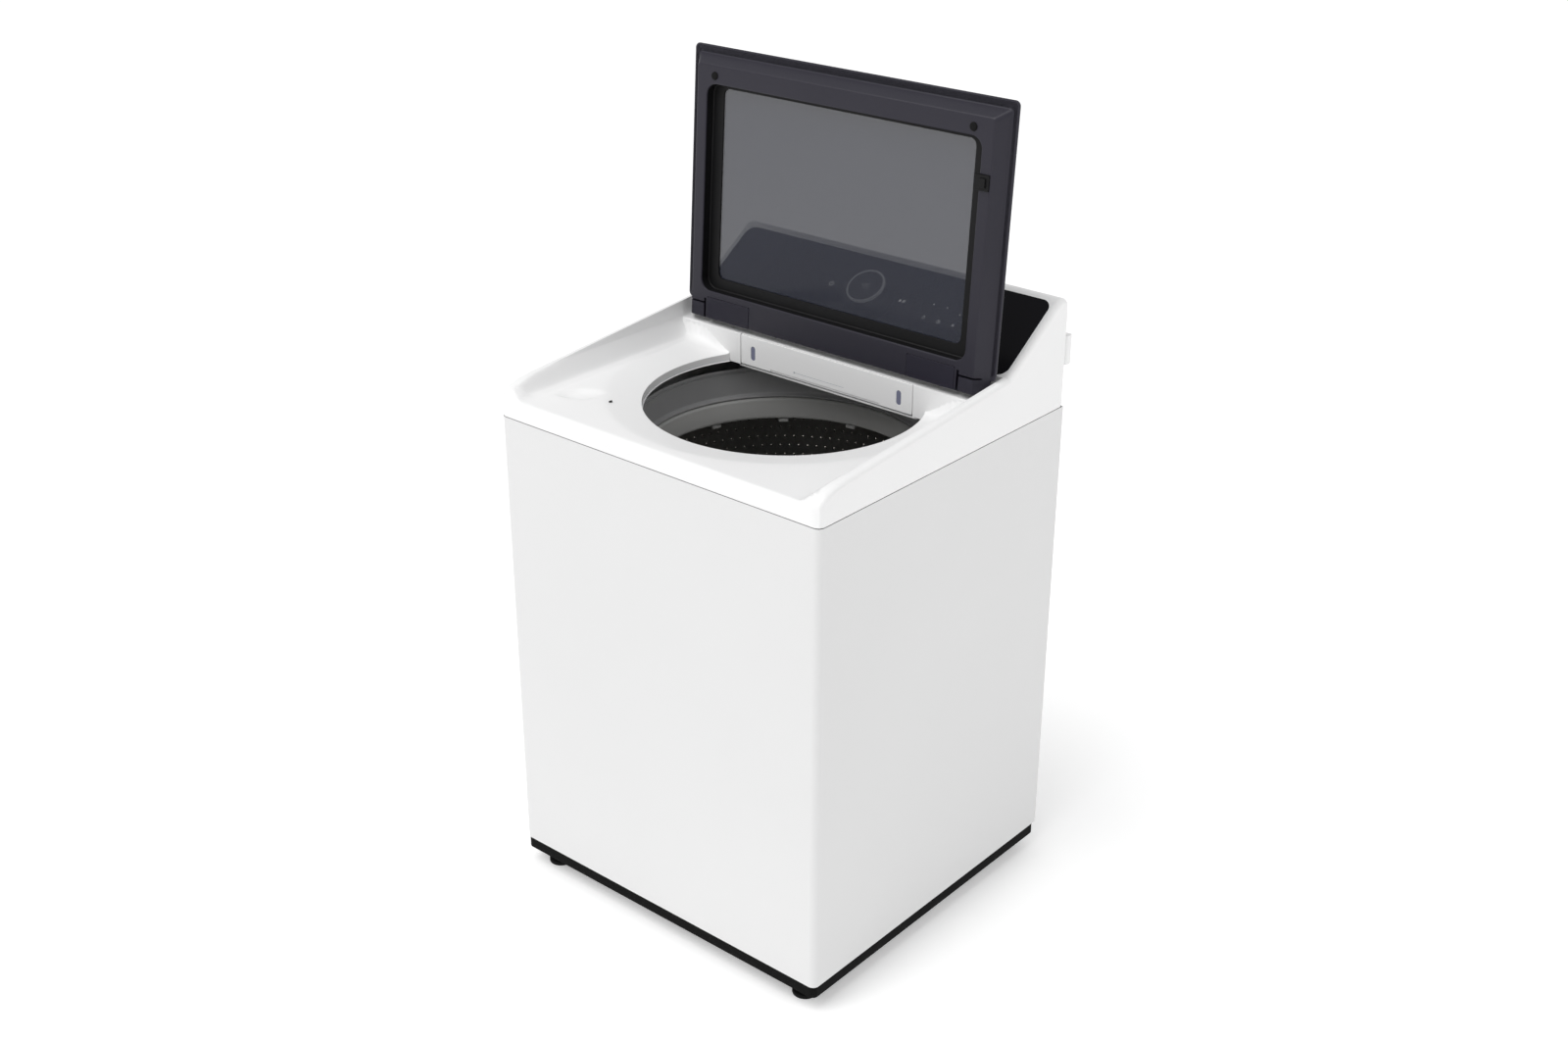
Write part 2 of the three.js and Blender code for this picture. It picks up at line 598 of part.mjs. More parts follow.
function lidLatch() {
  const seat = lid.depth + gap;
  const plate = boxSolid(286, 305, -141, -116, seat, seat + 5);
  const tongue = boxSolid(288, 298, -134, -120, seat + 4, seat + 7);
  return join(plate, tongue);
}

function hingeCoverPlate(side) {
  const { x, halfWidth, bottom, top, floor, face } = hingeCover;
  return extrudeZ(roundedRect(side * x - halfWidth, side * x + halfWidth, bottom, top, 3), floor, face, 2);
}

function hingePin(side) {
  const x = side * hinge.x;
  return bar([x - 28, pivotU, pivotT], [x + 28, pivotU, pivotT], hinge.pinRadius, 12);
}

// ---- tub ----------------------------------------------------------------------------------
function outerTub() {
  const { radius: r, wall: t, bottom, top } = tub;
  const shell = lathe([
    [42, bottom], [r - 14, bottom], [r - 4, bottom + 4], [r, bottom + 14], [r, top], [r - t, top],
    [r - t, bottom + 16], [r - t - 4, bottom + 8], [r - 16, bottom + t + 1], [42, bottom + t + 1],
  ]);
  const lugs = corners.map(([, sx, sy]) => {
    const arm = shapeOf([
      [sx * 190, sy * 226], [sx * 222, sy * 194], [sx * 283, sy * 240], [sx * 283, sy * 262],
      [sx * 262, sy * 269], [sx * 246, sy * 262],
    ]);
    const hole = bar([sx * rod.x, sy * rod.y, 290], [sx * rod.x, sy * rod.y, 330], rod.radius + 1, 12);
    return cut(extrudeZ(arm, rod.lugZ, rod.lugZ + 12), hole);
  });
  const inside = lathe([[0, bottom + 20], [r - t, bottom + 20], [r - t, top], [0, top]]);
  const sumpHole = bar([sump.x, sump.y, 190], [sump.x, sump.y, 230], 14, 16);
  const spout = bar([sump.x, sump.y, 190], [sump.x, sump.y, bottom + 2], 17, 16);
  return cut(join(shell, ...lugs.map((lug) => lug.subtract(inside)), spout), sumpHole);
}

function tubCover() {
  return lathe([
    [tub.radius, tub.top + gap], [tub.radius, 828], [262, 834], [258, 867], [255, 867], [249, 819],
    [243, 815], [243, 812.4], [252, 812.4], [262, 829], [tub.radius - tub.wall, tub.top + gap],
  ]);
}

function bearingHousing() {
  return lathe([
    [17.6, 172], [40, 172], [52, 186], [108, 198], [108, tub.bottom - gap], [41.5, tub.bottom - gap],
    [41.5, 222], [17.6, 222],
  ], 24);
}

function stator() {
  return lathe([
    [92, 134], [130, 134], [130, 162], [100, 162], [100, 192], [60, 182], [60, 176], [92, 176],
  ], 24);
}

// A helical spring as one closed coil between its two flat seats.
class Helix extends THREE.Curve {
  constructor(radius, height, turns) {
    super();
    Object.assign(this, { radius, height, turns });
  }

  getPoint(t, target = new THREE.Vector3()) {
    const angle = 2 * Math.PI * this.turns * t;
    return target.set(this.radius * Math.cos(angle), this.radius * Math.sin(angle), this.height * t);
  }
}

function suspensionSpring(sx, sy) {
  const wire = 2.2;
  const lower = rod.capZ + 1 + wire + gap;
  const height = rod.lugZ - wire - gap - lower;
  const section = new THREE.Shape();
  section.absarc(0, 0, wire, 0, 2 * Math.PI);
  const path = new Helix(13, height, 3);
  const geometry = new THREE.ExtrudeGeometry(section, {
    steps: 22, extrudePath: path, bevelEnabled: false, curveSegments: 3,
  });
  geometry.translate(sx * rod.x, sy * rod.y, lower);
  return solid(geometry);
}

function suspensionRod(sx, sy) {
  const body = lathe([
    [0, rod.capZ - 12], [18, rod.capZ - 12], [18, rod.capZ + 1], [rod.radius, rod.capZ + 1],
    [rod.radius, rod.top - 3.7], [9, rod.top - 3.7], [5, rod.top + 4], [0, rod.top + 4],
  ], 8);
  return body.translate([sx * rod.x, sy * rod.y, 0]);
}

function sumpBellows() {
  const [low, high] = [pump.top + gap, 190 - gap];
  const folds = 3;
  const pitch = (high - low) / folds;
  const outer = [];
  const inner = [];
  for (let i = 0; i < folds; i++) {
    outer.push([17, low + i * pitch], [22, low + (i + 0.5) * pitch]);
    inner.unshift([19, low + (i + 0.5) * pitch], [14, low + i * pitch]);
  }
  return lathe([...outer, [17, high], [14, high], ...inner], 10).translate([sump.x, sump.y, 0]);
}

// ---- drain pump on the base ---------------------------------------------------------------
function drainPump() {
  const { x, y } = sump;
  const volute = bar([x, y - 34, pump.z], [x, y + 22, pump.z], pump.radius, 18);
  const inletPipe = bar([x, y, pump.z + 20], [x, y, pump.top], 17, 12);
  const motor = boxSolid(x - 30, x + 30, y - 92, y - 33, pump.z - 30, pump.z + 30);
  const legs = [-1, 1].map((side) => boxSolid(
    x + side * 34 - 9, x + side * 34 + 9, y - 30, y + 18, base.bottom + 22 + gap, pump.z - 20));
  const spoutX = drainPort.x;
  const spout = bar([spoutX, y, pump.z + 10], [spoutX, y, pump.z + 44], 12, 10);
  const chamber = bar([x, y - 28, pump.z], [x, y + 30, pump.z], pump.radius - 5, 18);
  const inletBore = bar([x, y, pump.z], [x, y, pump.top + 5], 13, 12);
  const spoutBore = bar([spoutX, y, pump.z], [spoutX, y, pump.z + 60], 9, 10);
  return cut(join(volute, inletPipe, motor, spout, ...legs), chamber, inletBore, spoutBore);
}

function pumpImpeller() {
  const { x, y } = sump;
  const hub = bar([x, y - 26, pump.z], [x, y - 2, pump.z], 10, 16);
  const blades = [0, 1, 2].map((i) => {
    const blade = new THREE.BoxGeometry(58, 20, 4);
    blade.rotateY(i * Math.PI / 3);
    blade.translate(x, y - 14, pump.z);
    return solid(blade);
  });
  return join(hub, ...blades);
}

function pumpCap() {
  const { x, y } = sump;
  const plug = bar([x, y + 10, pump.z], [x, y + 21, pump.z], pump.radius - 5 - 1, 18);
  const grip = boxSolid(x - 22, x + 22, y + 20, y + 34, pump.z - 4, pump.z + 4);
  return join(plug, grip);
}

// The hose from the pump up to the outlet on the back.
function drainHose() {
  const { x, z } = drainPort;
  const y = sump.y;
  const path = new THREE.CatmullRomCurve3([
    new THREE.Vector3(x, y, pump.z + 44 + gap),
    new THREE.Vector3(x, y, 146),
    new THREE.Vector3(x, y + 6, 160),
    new THREE.Vector3(x, y + 24, 168),
    new THREE.Vector3(x, 200, z),
    new THREE.Vector3(x, 262 - gap, z),
  ]);
  const section = new THREE.Shape();
  section.absarc(0, 0, 14, 0, 2 * Math.PI);
  const geometry = new THREE.ExtrudeGeometry(section, {
    steps: 10, extrudePath: path, bevelEnabled: false, curveSegments: 4,
  });
  return solid(geometry);
}

// ---- basket -------------------------------------------------------------------------------
function basketDrum() {
  const { radius: r, sheet: t, bottom, top } = basket;
  return lathe([
    [52, bottom], [r - 26, bottom], [r - 8, bottom + 8], [r, bottom + 26], [r, top], [r - t, top],
    [r - t, bottom + 26], [r - 9, bottom + 9], [r - 26, bottom + t], [52, bottom + t],
  ]);
}

function balanceRing() {
  const outer = basket.radius - basket.sheet - gap;
  return lathe([
    [outer, 770], [outer, 807], [outer - 3, 810], [243, 811], [240, 808], [235, 778], [236, 774], [262, 770],
  ]);
}

function basketHub() {
  const boss = lathe([[17.4, 226], [40, 226], [50, 240], [50, 261.6], [17.4, 261.6]], 16);
  const arms = [0, 1, 2].map((i) => {
    const arm = new THREE.BoxGeometry(205, 34, 16);
    arm.translate(132, 0, basket.bottom - gap - 8.4);
    arm.rotateZ(rad(30 + 120 * i));
    return solid(arm);
  });
  const bore = lathe([[0, 200], [17.4, 200], [17.4, 280], [0, 280]], 16);
  return cut(join(boss, ...arms), bore);
}

function spinTube() {
  return lathe([[8.6, 150], [17, 150], [17, 268], [30, 270], [30, 276], [8.6, 276]], 16);
}

function clutchCoupler() {
  return lathe([[17.6, 138], [30, 138], [30, 150], [24, 154], [24, 164], [17.6, 164]], 16);
}

// ---- pulsator and motor rotor -------------------------------------------------------------
function pulsator() {
  const plate = lathe([
    [0, 286], [150, 286], [232, 305], [232, 311], [150, 296], [70, 300], [40, 326], [0, 332],
  ], 24);
  const fins = [0, 1, 2, 3, 4, 5].map((i) => {
    const fin = new THREE.Shape();
    fin.moveTo(34, 296);
    fin.lineTo(34, 324);
    fin.quadraticCurveTo(110, 346, 205, 312);
    fin.lineTo(205, 302);
    fin.lineTo(150, 290);
    fin.lineTo(60, 290);
    const geometry = new THREE.ExtrudeGeometry(fin, { depth: 14, bevelEnabled: false, curveSegments: 3 });
    geometry.rotateX(Math.PI / 2);
    geometry.translate(0, 7, 0);
    geometry.rotateZ(i * Math.PI / 3);
    return solid(geometry);
  });
  const socket = lathe([[0, 280], [8.2, 280], [8.2, 304], [0, 304]], 24);
  return cut(join(plate, ...fins), socket);
}

function driveShaft() {
  return lathe([[0, 122], [8, 122], [8, 303.5], [0, 303.5]], 20);
}

function motorRotor() {
  return lathe([
    [8.3, 116], [20, 116], [22, 120], [138, 120], [146, 130], [146, 166], [136, 166], [136, 132], [130, 126],
    [30, 126], [30, 134], [8.3, 134],
  ], 24);
}

// ---- assembly -----------------------------------------------------------------------------
addPiece(washer, 'cabinet_shell', cabinetShell(), paint);
addPiece(washer, 'base_frame', baseFrame(), blackPlastic);
addPiece(washer, 'rear_panel', rearPanel(), zincSteel);
addPiece(washer, 'top_cover', topCover(), whitePlastic);
addPiece(washer, 'control_glass', controlGlass(), blackGlass);
addPiece(washer, 'console_back', consoleBack(), whitePlastic);
addPiece(washer, 'control_board', controlBoard(), boardGreen);
addPiece(washer, 'inlet_valve_hot', inletValve(inlet.xs[0]), whitePlastic);
addPiece(washer, 'inlet_valve_cold', inletValve(inlet.xs[1]), whitePlastic);
addPiece(washer, 'cord_gland', cordGland(), blackPlastic);
addPiece(washer, 'pressure_sensor', pressureSensor(), whitePlastic);
addPiece(washer, 'drain_outlet', drainOutlet(), blackPlastic);
addPiece(washer, 'drain_hose', drainHose(), rubber);
addPiece(washer, 'drain_pump', drainPump(), whitePlastic);
addPiece(washer, 'pump_cap', pumpCap(), blackPlastic);
addPiece(washer, 'pump_impeller', pumpImpeller(), whitePlastic);
addPiece(washer, 'dispenser_housing', dispenserHousing(), whitePlastic);
addPiece(washer, 'lid_lock', lidLock(), blackPlastic);
addPiece(washer, 'hinge_bracket_left', hingeBracket(-1), blackPlastic);
addPiece(washer, 'hinge_bracket_right', hingeBracket(1), blackPlastic);
for (const [place, sx, sy] of corners) {
  addPiece(washer, `foot_${place}`, levellingFoot(sx, sy), rubber);
  addPiece(washer, `suspension_rod_${place}`, suspensionRod(sx, sy), zincSteel);
  addPiece(washer, `suspension_spring_${place}`, suspensionSpring(sx, sy), steel);
}

addPiece(washer, 'drawer_front', drawerFront(), whitePlastic);
addPiece(washer, 'drawer_tray', drawerTray(), whitePlastic);
addPiece(washer, 'detergent_cap', tankCap(-drawer.halfWidth + 5, 27), lightGrey);
addPiece(washer, 'softener_cap', tankCap(30, drawer.halfWidth - 5), lightGrey);

addPiece(washer, 'dial_knob', dialKnob(), blackGlass);
addPiece(washer, 'dial_ring', dialRing(), lightGrey);

addPiece(lidGroup, 'lid_frame', lidFrame(), satinBlack);
addPiece(lidGroup, 'lid_glass', lidGlass(), tintedGlass);
addPiece(lidGroup, 'lid_latch', lidLatch(), blackPlastic);
for (const [place, side] of [['left', -1], ['right', 1]]) {
  addPiece(lidGroup, `lid_bumper_${place}`, lidBumper(side), rubber);
  addPiece(lidGroup, `hinge_cover_${place}`, hingeCoverPlate(side), satinBlack);
  addPiece(lidGroup, `hinge_pin_${place}`, hingePin(side), steel);
}

addPiece(washer, 'outer_tub', outerTub(), tubPlastic);
addPiece(washer, 'tub_cover', tubCover(), tubPlastic);
addPiece(washer, 'bearing_housing', bearingHousing(), aluminium);
addPiece(washer, 'stator', stator(), copper);
addPiece(washer, 'sump_bellows', sumpBellows(), rubber);
addPiece(washer, 'basket_drum', basketDrum(), steel);
addPiece(washer, 'balance_ring', balanceRing(), tubPlastic);
addPiece(washer, 'basket_hub', basketHub(), aluminium);
addPiece(washer, 'spin_tube', spinTube(), steel);
addPiece(washer, 'clutch_coupler', clutchCoupler(), blackPlastic);
addPiece(washer, 'pulsator', pulsator(), pulsatorGrey);
addPiece(washer, 'drive_shaft', driveShaft(), steel);
addPiece(washer, 'motor_rotor', motorRotor(), zincSteel);

export default washer;
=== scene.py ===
import bpy
import bmesh
import json
import math
import numpy as np
from mathutils import Matrix, Vector


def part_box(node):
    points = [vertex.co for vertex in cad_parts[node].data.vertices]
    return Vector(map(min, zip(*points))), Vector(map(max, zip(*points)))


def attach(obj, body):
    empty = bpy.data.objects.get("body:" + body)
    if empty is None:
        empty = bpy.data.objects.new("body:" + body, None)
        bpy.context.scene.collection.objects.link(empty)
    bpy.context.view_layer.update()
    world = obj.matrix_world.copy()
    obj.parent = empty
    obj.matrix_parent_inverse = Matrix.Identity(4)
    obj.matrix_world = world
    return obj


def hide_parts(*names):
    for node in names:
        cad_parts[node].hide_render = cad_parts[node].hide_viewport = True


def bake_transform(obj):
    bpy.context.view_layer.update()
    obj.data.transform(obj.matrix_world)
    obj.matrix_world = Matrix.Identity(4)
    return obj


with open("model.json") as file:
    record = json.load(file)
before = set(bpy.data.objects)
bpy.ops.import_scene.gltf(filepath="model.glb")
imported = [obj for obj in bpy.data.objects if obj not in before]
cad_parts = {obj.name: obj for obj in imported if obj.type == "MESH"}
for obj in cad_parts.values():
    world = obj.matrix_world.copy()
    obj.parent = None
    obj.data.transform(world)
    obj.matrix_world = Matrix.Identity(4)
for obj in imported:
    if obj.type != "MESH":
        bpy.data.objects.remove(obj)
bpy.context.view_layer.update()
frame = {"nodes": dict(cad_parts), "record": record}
print("frame loaded")

coverLow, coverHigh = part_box("top_cover")
planY = (coverLow[1] + coverHigh[1]) / 2  # the cabinet's own centre line, front to back
mm = 0.001


# Millimetres of the machine to metres of the shared frame.
def place(x, y, z):
    return (x * mm, y * mm + planY, z * mm)


# A socket that can be used in sums.
class Wire:
    def __init__(self, shade, socket):
        self.shade = shade
        self.socket = socket

    def calc(self, operation, a, b):
        return self.shade.node("ShaderNodeMath", {"operation": operation}, {0: a, 1: b})

    def __add__(self, other):
        return self.calc("ADD", self, other)

    def __mul__(self, other):
        return self.calc("MULTIPLY", self, other)


# A material built from nodes.
class Shade:
    def __init__(self, name, **fixed):
        self.material = bpy.data.materials.new(name)
        self.material.use_nodes = True
        self.tree = self.material.node_tree
        self.tree.nodes.clear()
        output = self.tree.nodes.new("ShaderNodeOutputMaterial")
        self.surface = self.tree.nodes.new("ShaderNodeBsdfPrincipled")
        self.tree.links.new(self.surface.outputs[0], output.inputs[0])
        for socket, value in fixed.items():
            self.surface.inputs[socket.replace("_", " ")].default_value = value
        self.place = self.node("ShaderNodeTexCoord", output="Object")

    def node(self, kind, settings=None, values=None, output=0):
        made = self.tree.nodes.new(kind)
        for key, value in (settings or {}).items():
            if key == "stops":
                ramp = made.color_ramp
                for spot, (where, colour) in enumerate(value):
                    stop = ramp.elements[spot] if spot < 2 else ramp.elements.new(where)
                    stop.position = where
                    stop.color = colour
            else:
                setattr(made, key, value)
        for key, value in (values or {}).items():
            if isinstance(value, Wire):
                self.tree.links.new(value.socket, made.inputs[key])
            else:
                made.inputs[key].default_value = value
        return Wire(self, made.outputs[output])

    def noise(self, scale, detail=3.0, rough=0.5, stretch=None):
        where = self.place
        if stretch:
            where = self.node("ShaderNodeMapping", None, {"Vector": where, "Scale": stretch})
        return self.node("ShaderNodeTexNoise", None, {
            "Vector": where, "Scale": scale, "Detail": detail, "Roughness": rough})

    def blend(self, factor, low, high):
        return self.node("ShaderNodeMix", {"data_type": "RGBA"}, {0: factor, 6: low, 7: high}, output=2)

    def put(self, socket, wire):
        self.tree.links.new(wire.socket, self.surface.inputs[socket])

    def bump(self, height, strength, distance):
        self.put("Normal", self.node("ShaderNodeBump", None, {
            "Height": height, "Strength": strength, "Distance": distance}))


def rgb(r, g, b):
    return (r, g, b, 1.0)


finishes = {
    "whitePaint": {"low": (0.715, 0.715, 0.715), "high": (0.75, 0.75, 0.75), "patch": 2.2,
                   "rough": (0.27, 0.36), "grain": 900, "bump": 0.05, "depth": 0.0002},
    "whitePlastic": {"low": (0.86, 0.86, 0.86), "high": (0.90, 0.90, 0.90), "patch": 3.0,
                     "rough": (0.30, 0.38), "grain": 1400, "bump": 0.04, "depth": 0.0001},
    "blackPlastic": {"low": (0.004, 0.004, 0.004), "high": (0.008, 0.008, 0.009), "patch": 9,
                     "rough": (0.42, 0.58), "grain": 2600, "bump": 0.22, "depth": 0.0002, "shine": 0.2},
    "baseBlack": {"low": (0.003, 0.003, 0.003), "high": (0.005, 0.005, 0.005), "patch": 7,
                  "rough": (0.55, 0.7), "grain": 2200, "bump": 0.2, "depth": 0.0002, "shine": 0.06},
    "satinBlack": {"low": (0.018, 0.017, 0.026), "high": (0.025, 0.023, 0.034), "patch": 5,
                   "rough": (0.36, 0.44), "grain": 3200, "bump": 0.16, "depth": 0.0001, "shine": 0.3},
    "coverBlack": {"low": (0.017, 0.0155, 0.025), "high": (0.023, 0.0215, 0.033), "patch": 5,
                   "rough": (0.34, 0.42), "grain": 3000, "bump": 0.14, "depth": 0.0001, "shine": 0.22},
    "tubGrey": {"low": (0.30, 0.30, 0.305), "high": (0.35, 0.35, 0.355), "patch": 6, "rough": (0.38, 0.5),
                "grain": 1800, "bump": 0.18, "depth": 0.0002},
    # ringGreyPaintedLight: the tub grey made lighter to make up for the shade inside the tub, painted light
    "ringGreyPaintedLight": {"low": (0.40, 0.40, 0.39), "high": (0.46, 0.46, 0.45), "patch": 6, "rough": (0.34, 0.46),
                 "grain": 1800, "bump": 0.15, "depth": 0.0002},
    "pulsatorGrey": {"low": (0.20, 0.21, 0.23), "high": (0.26, 0.27, 0.29), "patch": 5,
                     "rough": (0.28, 0.38), "grain": 1500, "bump": 0.08, "depth": 0.0001},
    "rubber": {"low": (0.005, 0.005, 0.005), "high": (0.010, 0.010, 0.010), "patch": 20,
               "rough": (0.7, 0.85), "grain": 1600, "bump": 0.3, "depth": 0.0003, "shine": 0.12},
    "lightGrey": {"low": (0.42, 0.44, 0.48), "high": (0.50, 0.52, 0.56), "patch": 8, "rough": (0.26, 0.34),
                  "grain": 1500, "bump": 0.06, "depth": 0.0001},
    "slotBlue": {"low": (0.18, 0.19, 0.27), "high": (0.23, 0.24, 0.33), "patch": 30, "rough": (0.18, 0.26),
                 "grain": 900, "bump": 0.03, "depth": 0.0001},
    "board": {"low": (0.015, 0.09, 0.04), "high": (0.02, 0.13, 0.06), "patch": 60, "rough": (0.35, 0.5),
              "grain": 700, "bump": 0.1, "depth": 0.0002},
    # print: light grey signs given a painted glow; the small lamp dots share this glow
    "print": {"low": (0.75, 0.76, 0.78), "high": (0.82, 0.83, 0.85), "patch": 40, "rough": (0.4, 0.5),
              "grain": 900, "bump": 0.02, "depth": 0.0001, "paintedGlow": 1.1},
    # greyPrintPaintedGlow: grey print with a painted glow
    "greyPrintPaintedGlow": {"low": (0.40, 0.41, 0.43), "high": (0.46, 0.47, 0.49), "patch": 40, "rough": (0.5, 0.6),
                  "grain": 900, "bump": 0.02, "depth": 0.0001, "paintedGlow": 0.45},
    "dialBlack": {"low": (0.010, 0.010, 0.012), "high": (0.016, 0.016, 0.018), "patch": 30,
                  "rough": (0.16, 0.26), "grain": 2200, "bump": 0.05, "depth": 0.0001},
    # dialGreyPaintedGlow: grey rim with a painted glow, it has no lamp
    "dialGreyPaintedGlow": {"low": (0.52, 0.53, 0.56), "high": (0.60, 0.61, 0.64), "patch": 30, "rough": (0.22, 0.32),
                 "grain": 2200, "bump": 0.05, "depth": 0.0001, "paintedGlow": 0.22},
    # paintedSlotShade: near-black finish set in slits, slots and the cover joint, painted shade where there
    # are only openings and gaps
    "paintedSlotShade": {"low": (0.01, 0.01, 0.01), "high": (0.02, 0.02, 0.02), "patch": 40, "rough": (0.6, 0.7),
                 "grain": 900, "bump": 0.1, "depth": 0.0001},
}
metals = {
    "stainless": {"colour": (0.50, 0.49, 0.47), "rough": (0.22, 0.40), "lines": (40, 40, 1800),
                  "bump": 0.12},
    "holeSteel": {"colour": (0.40, 0.38, 0.34), "rough": (0.16, 0.28), "lines": (90, 90, 90), "bump": 0.05},
    "zincSteel": {"colour": (0.56, 0.57, 0.58), "rough": (0.32, 0.55), "lines": (60, 60, 60), "bump": 0.15},
    "brightSteel": {"colour": (0.60, 0.61, 0.62), "rough": (0.18, 0.32), "lines": (30, 900, 900),
                    "bump": 0.08},
    "castAluminium": {"colour": (0.58, 0.59, 0.60), "rough": (0.42, 0.62), "lines": (700, 700, 700),
                      "bump": 0.35},
    "winding": {"colour": (0.45, 0.22, 0.10), "rough": (0.28, 0.45), "lines": (900, 900, 60), "bump": 0.6},
}


# paintedGlow makes a finish glow though it has no lamp.
def moulded(name, low, high, patch, rough, grain, bump, depth, shine=0.5, paintedGlow=0.0):
    shade = Shade(name, Specular_IOR_Level=shine, Emission_Color=rgb(1, 1, 1), Emission_Strength=paintedGlow)
    drift = shade.noise(patch, 4.0)
    shade.put("Base Color", shade.blend(drift, rgb(*low), rgb(*high)))
    wear = shade.noise(patch * 9, 5.0, 0.6)
    shade.put("Roughness", wear * (rough[1] - rough[0]) + rough[0])
    shade.bump(shade.noise(grain, 2.0), bump, depth)
    return shade.material


def metal(name, colour, rough, lines, bump):
    shade = Shade(name, Metallic=1.0)
    streak = shade.noise(1.0, 4.0, 0.6, stretch=lines)
    drift = shade.noise(7.0, 4.0)
    dark = tuple(c * 0.8 for c in colour)
    shade.put("Base Color", shade.blend(drift, rgb(*dark), rgb(*colour)))
    shade.put("Roughness", (streak * 0.6 + drift * 0.4) * (rough[1] - rough[0]) + rough[0])
    shade.bump(streak, bump, 0.0001)
    return shade.material


def panelGlass():
    shade = Shade("panelGlass", Specular_IOR_Level=0.10)
    smear = shade.noise(5.0, 5.0, 0.6)
    shade.put("Base Color", shade.blend(smear, rgb(0.0025, 0.0024, 0.004), rgb(0.004, 0.0038, 0.006)))
    shade.put("Roughness", smear * 0.08 + 0.08)
    return shade.material


def lidTint():
    shade = Shade("lidTint", Alpha=0.69, Specular_IOR_Level=0.3)
    smear = shade.noise(3.0, 4.0, 0.55)
    shade.put("Base Color", shade.blend(smear, rgb(0.024, 0.027, 0.043), rgb(0.030, 0.033, 0.050)))
    shade.put("Roughness", smear * 0.05 + 0.05)
    return shade.material


paint = {name: moulded(name, **values) for name, values in finishes.items()}
paint.update({name: metal(name, **values) for name, values in metals.items()})
paint["panelGlass"] = panelGlass()
paint["lidTint"] = lidTint()
slotOf = {  # the record's slot for each finish, the plainest finish of a slot first
    "whitePaint": "white_paint", "whitePlastic": "white_plastic", "blackPlastic": "black_plastic",
    "satinBlack": "satin_black", "panelGlass": "black_gloss", "lidTint": "tinted_glass",
    "lightGrey": "light_grey", "zincSteel": "zinc_steel", "stainless": "stainless",
    "brightSteel": "bright_steel", "castAluminium": "cast_aluminium", "winding": "motor_winding",
    "tubGrey": "tub_grey", "pulsatorGrey": "pulsator_grey", "rubber": "black_rubber",
    "board": "board_green", "coverBlack": "satin_black", "baseBlack": "black_plastic",
    "ringGreyPaintedLight": "tub_grey", "holeSteel": "stainless", "slotBlue": "light_grey", "print": "light_grey",
    "greyPrintPaintedGlow": "light_grey", "dialBlack": "black_gloss", "dialGreyPaintedGlow": "light_grey",
    "paintedSlotShade": "black_plastic",
}
print("materials made")


def meshFrom(bm, name):
    mesh = bpy.data.meshes.new(name)
    bm.to_mesh(mesh)
    bm.free()
    return mesh


def sharpen(mesh, angle=34):
    for face in mesh.polygons:
        face.use_smooth = True
    mesh.set_sharp_from_angle(angle=math.radians(angle))


# A finished piece: its normals weighted, its finish and body given, its CAD nodes hidden.
def keep(name, mesh, material, body, nodes=()):
    mesh = modified(mesh, ("WEIGHTED_NORMAL", {"keep_sharp": True}))
    mesh.name = name
    piece = bpy.data.objects.new(name, mesh)
    bpy.context.collection.objects.link(piece)
    mesh.materials.clear()
    mesh.materials.append(paint[material])
    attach(piece, body)
    if nodes:
        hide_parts(*nodes)


# The piece as its modifiers leave it.
def plainMesh(piece):
    view = bpy.context.evaluated_depsgraph_get()
    view.update()
    return bpy.data.meshes.new_from_object(piece.evaluated_get(view))


def modified(mesh, *modifiers):
    helper = bpy.data.objects.new("helper", mesh)
    bpy.context.collection.objects.link(helper)
    for kind, settings in modifiers:
        modifier = helper.modifiers.new(kind.lower(), kind)
        for key, value in settings.items():
            setattr(modifier, key, value)
    result = plainMesh(helper)
    bpy.data.objects.remove(helper)
    return result


def meshOf(points, faces, outward=True):
    mesh = bpy.data.meshes.new("mesh")
    mesh.from_pydata([tuple(p) for p in points], [], [tuple(f) for f in faces])
    if outward:
        bm = bmesh.new()
        bm.from_mesh(mesh)
        bmesh.ops.remove_doubles(bm, verts=bm.verts, dist=1e-6)
        bmesh.ops.recalc_face_normals(bm, faces=bm.faces)
        bm.to_mesh(mesh)
        bm.free()
    return mesh


# A CAD node's solid, merged and with flat faces joined.
def nodeCopy(node, joinFlats=True):
    bm = bmesh.new()
    bm.from_mesh(frame["nodes"][node].data)
    bmesh.ops.remove_doubles(bm, verts=bm.verts, dist=2e-5)
    if joinFlats:
        bmesh.ops.dissolve_limit(bm, angle_limit=math.radians(1.0), verts=bm.verts, edges=bm.edges)
    return meshFrom(bm, node)


# The CAD node again with its edges rounded.
def soften(node, name, material, body, width=0.8, segments=3, angle=38):
    bevel = ("BEVEL", {"width": width * mm, "segments": segments, "limit_method": "ANGLE",
                       "angle_limit": math.radians(angle), "use_clamp_overlap": True,
                       "miter_outer": "MITER_ARC"})
    mesh = modified(nodeCopy(node), bevel) if width > 0 else nodeCopy(node, joinFlats=False)
    sharpen(mesh)
    keep(name, mesh, material, body, (node,))


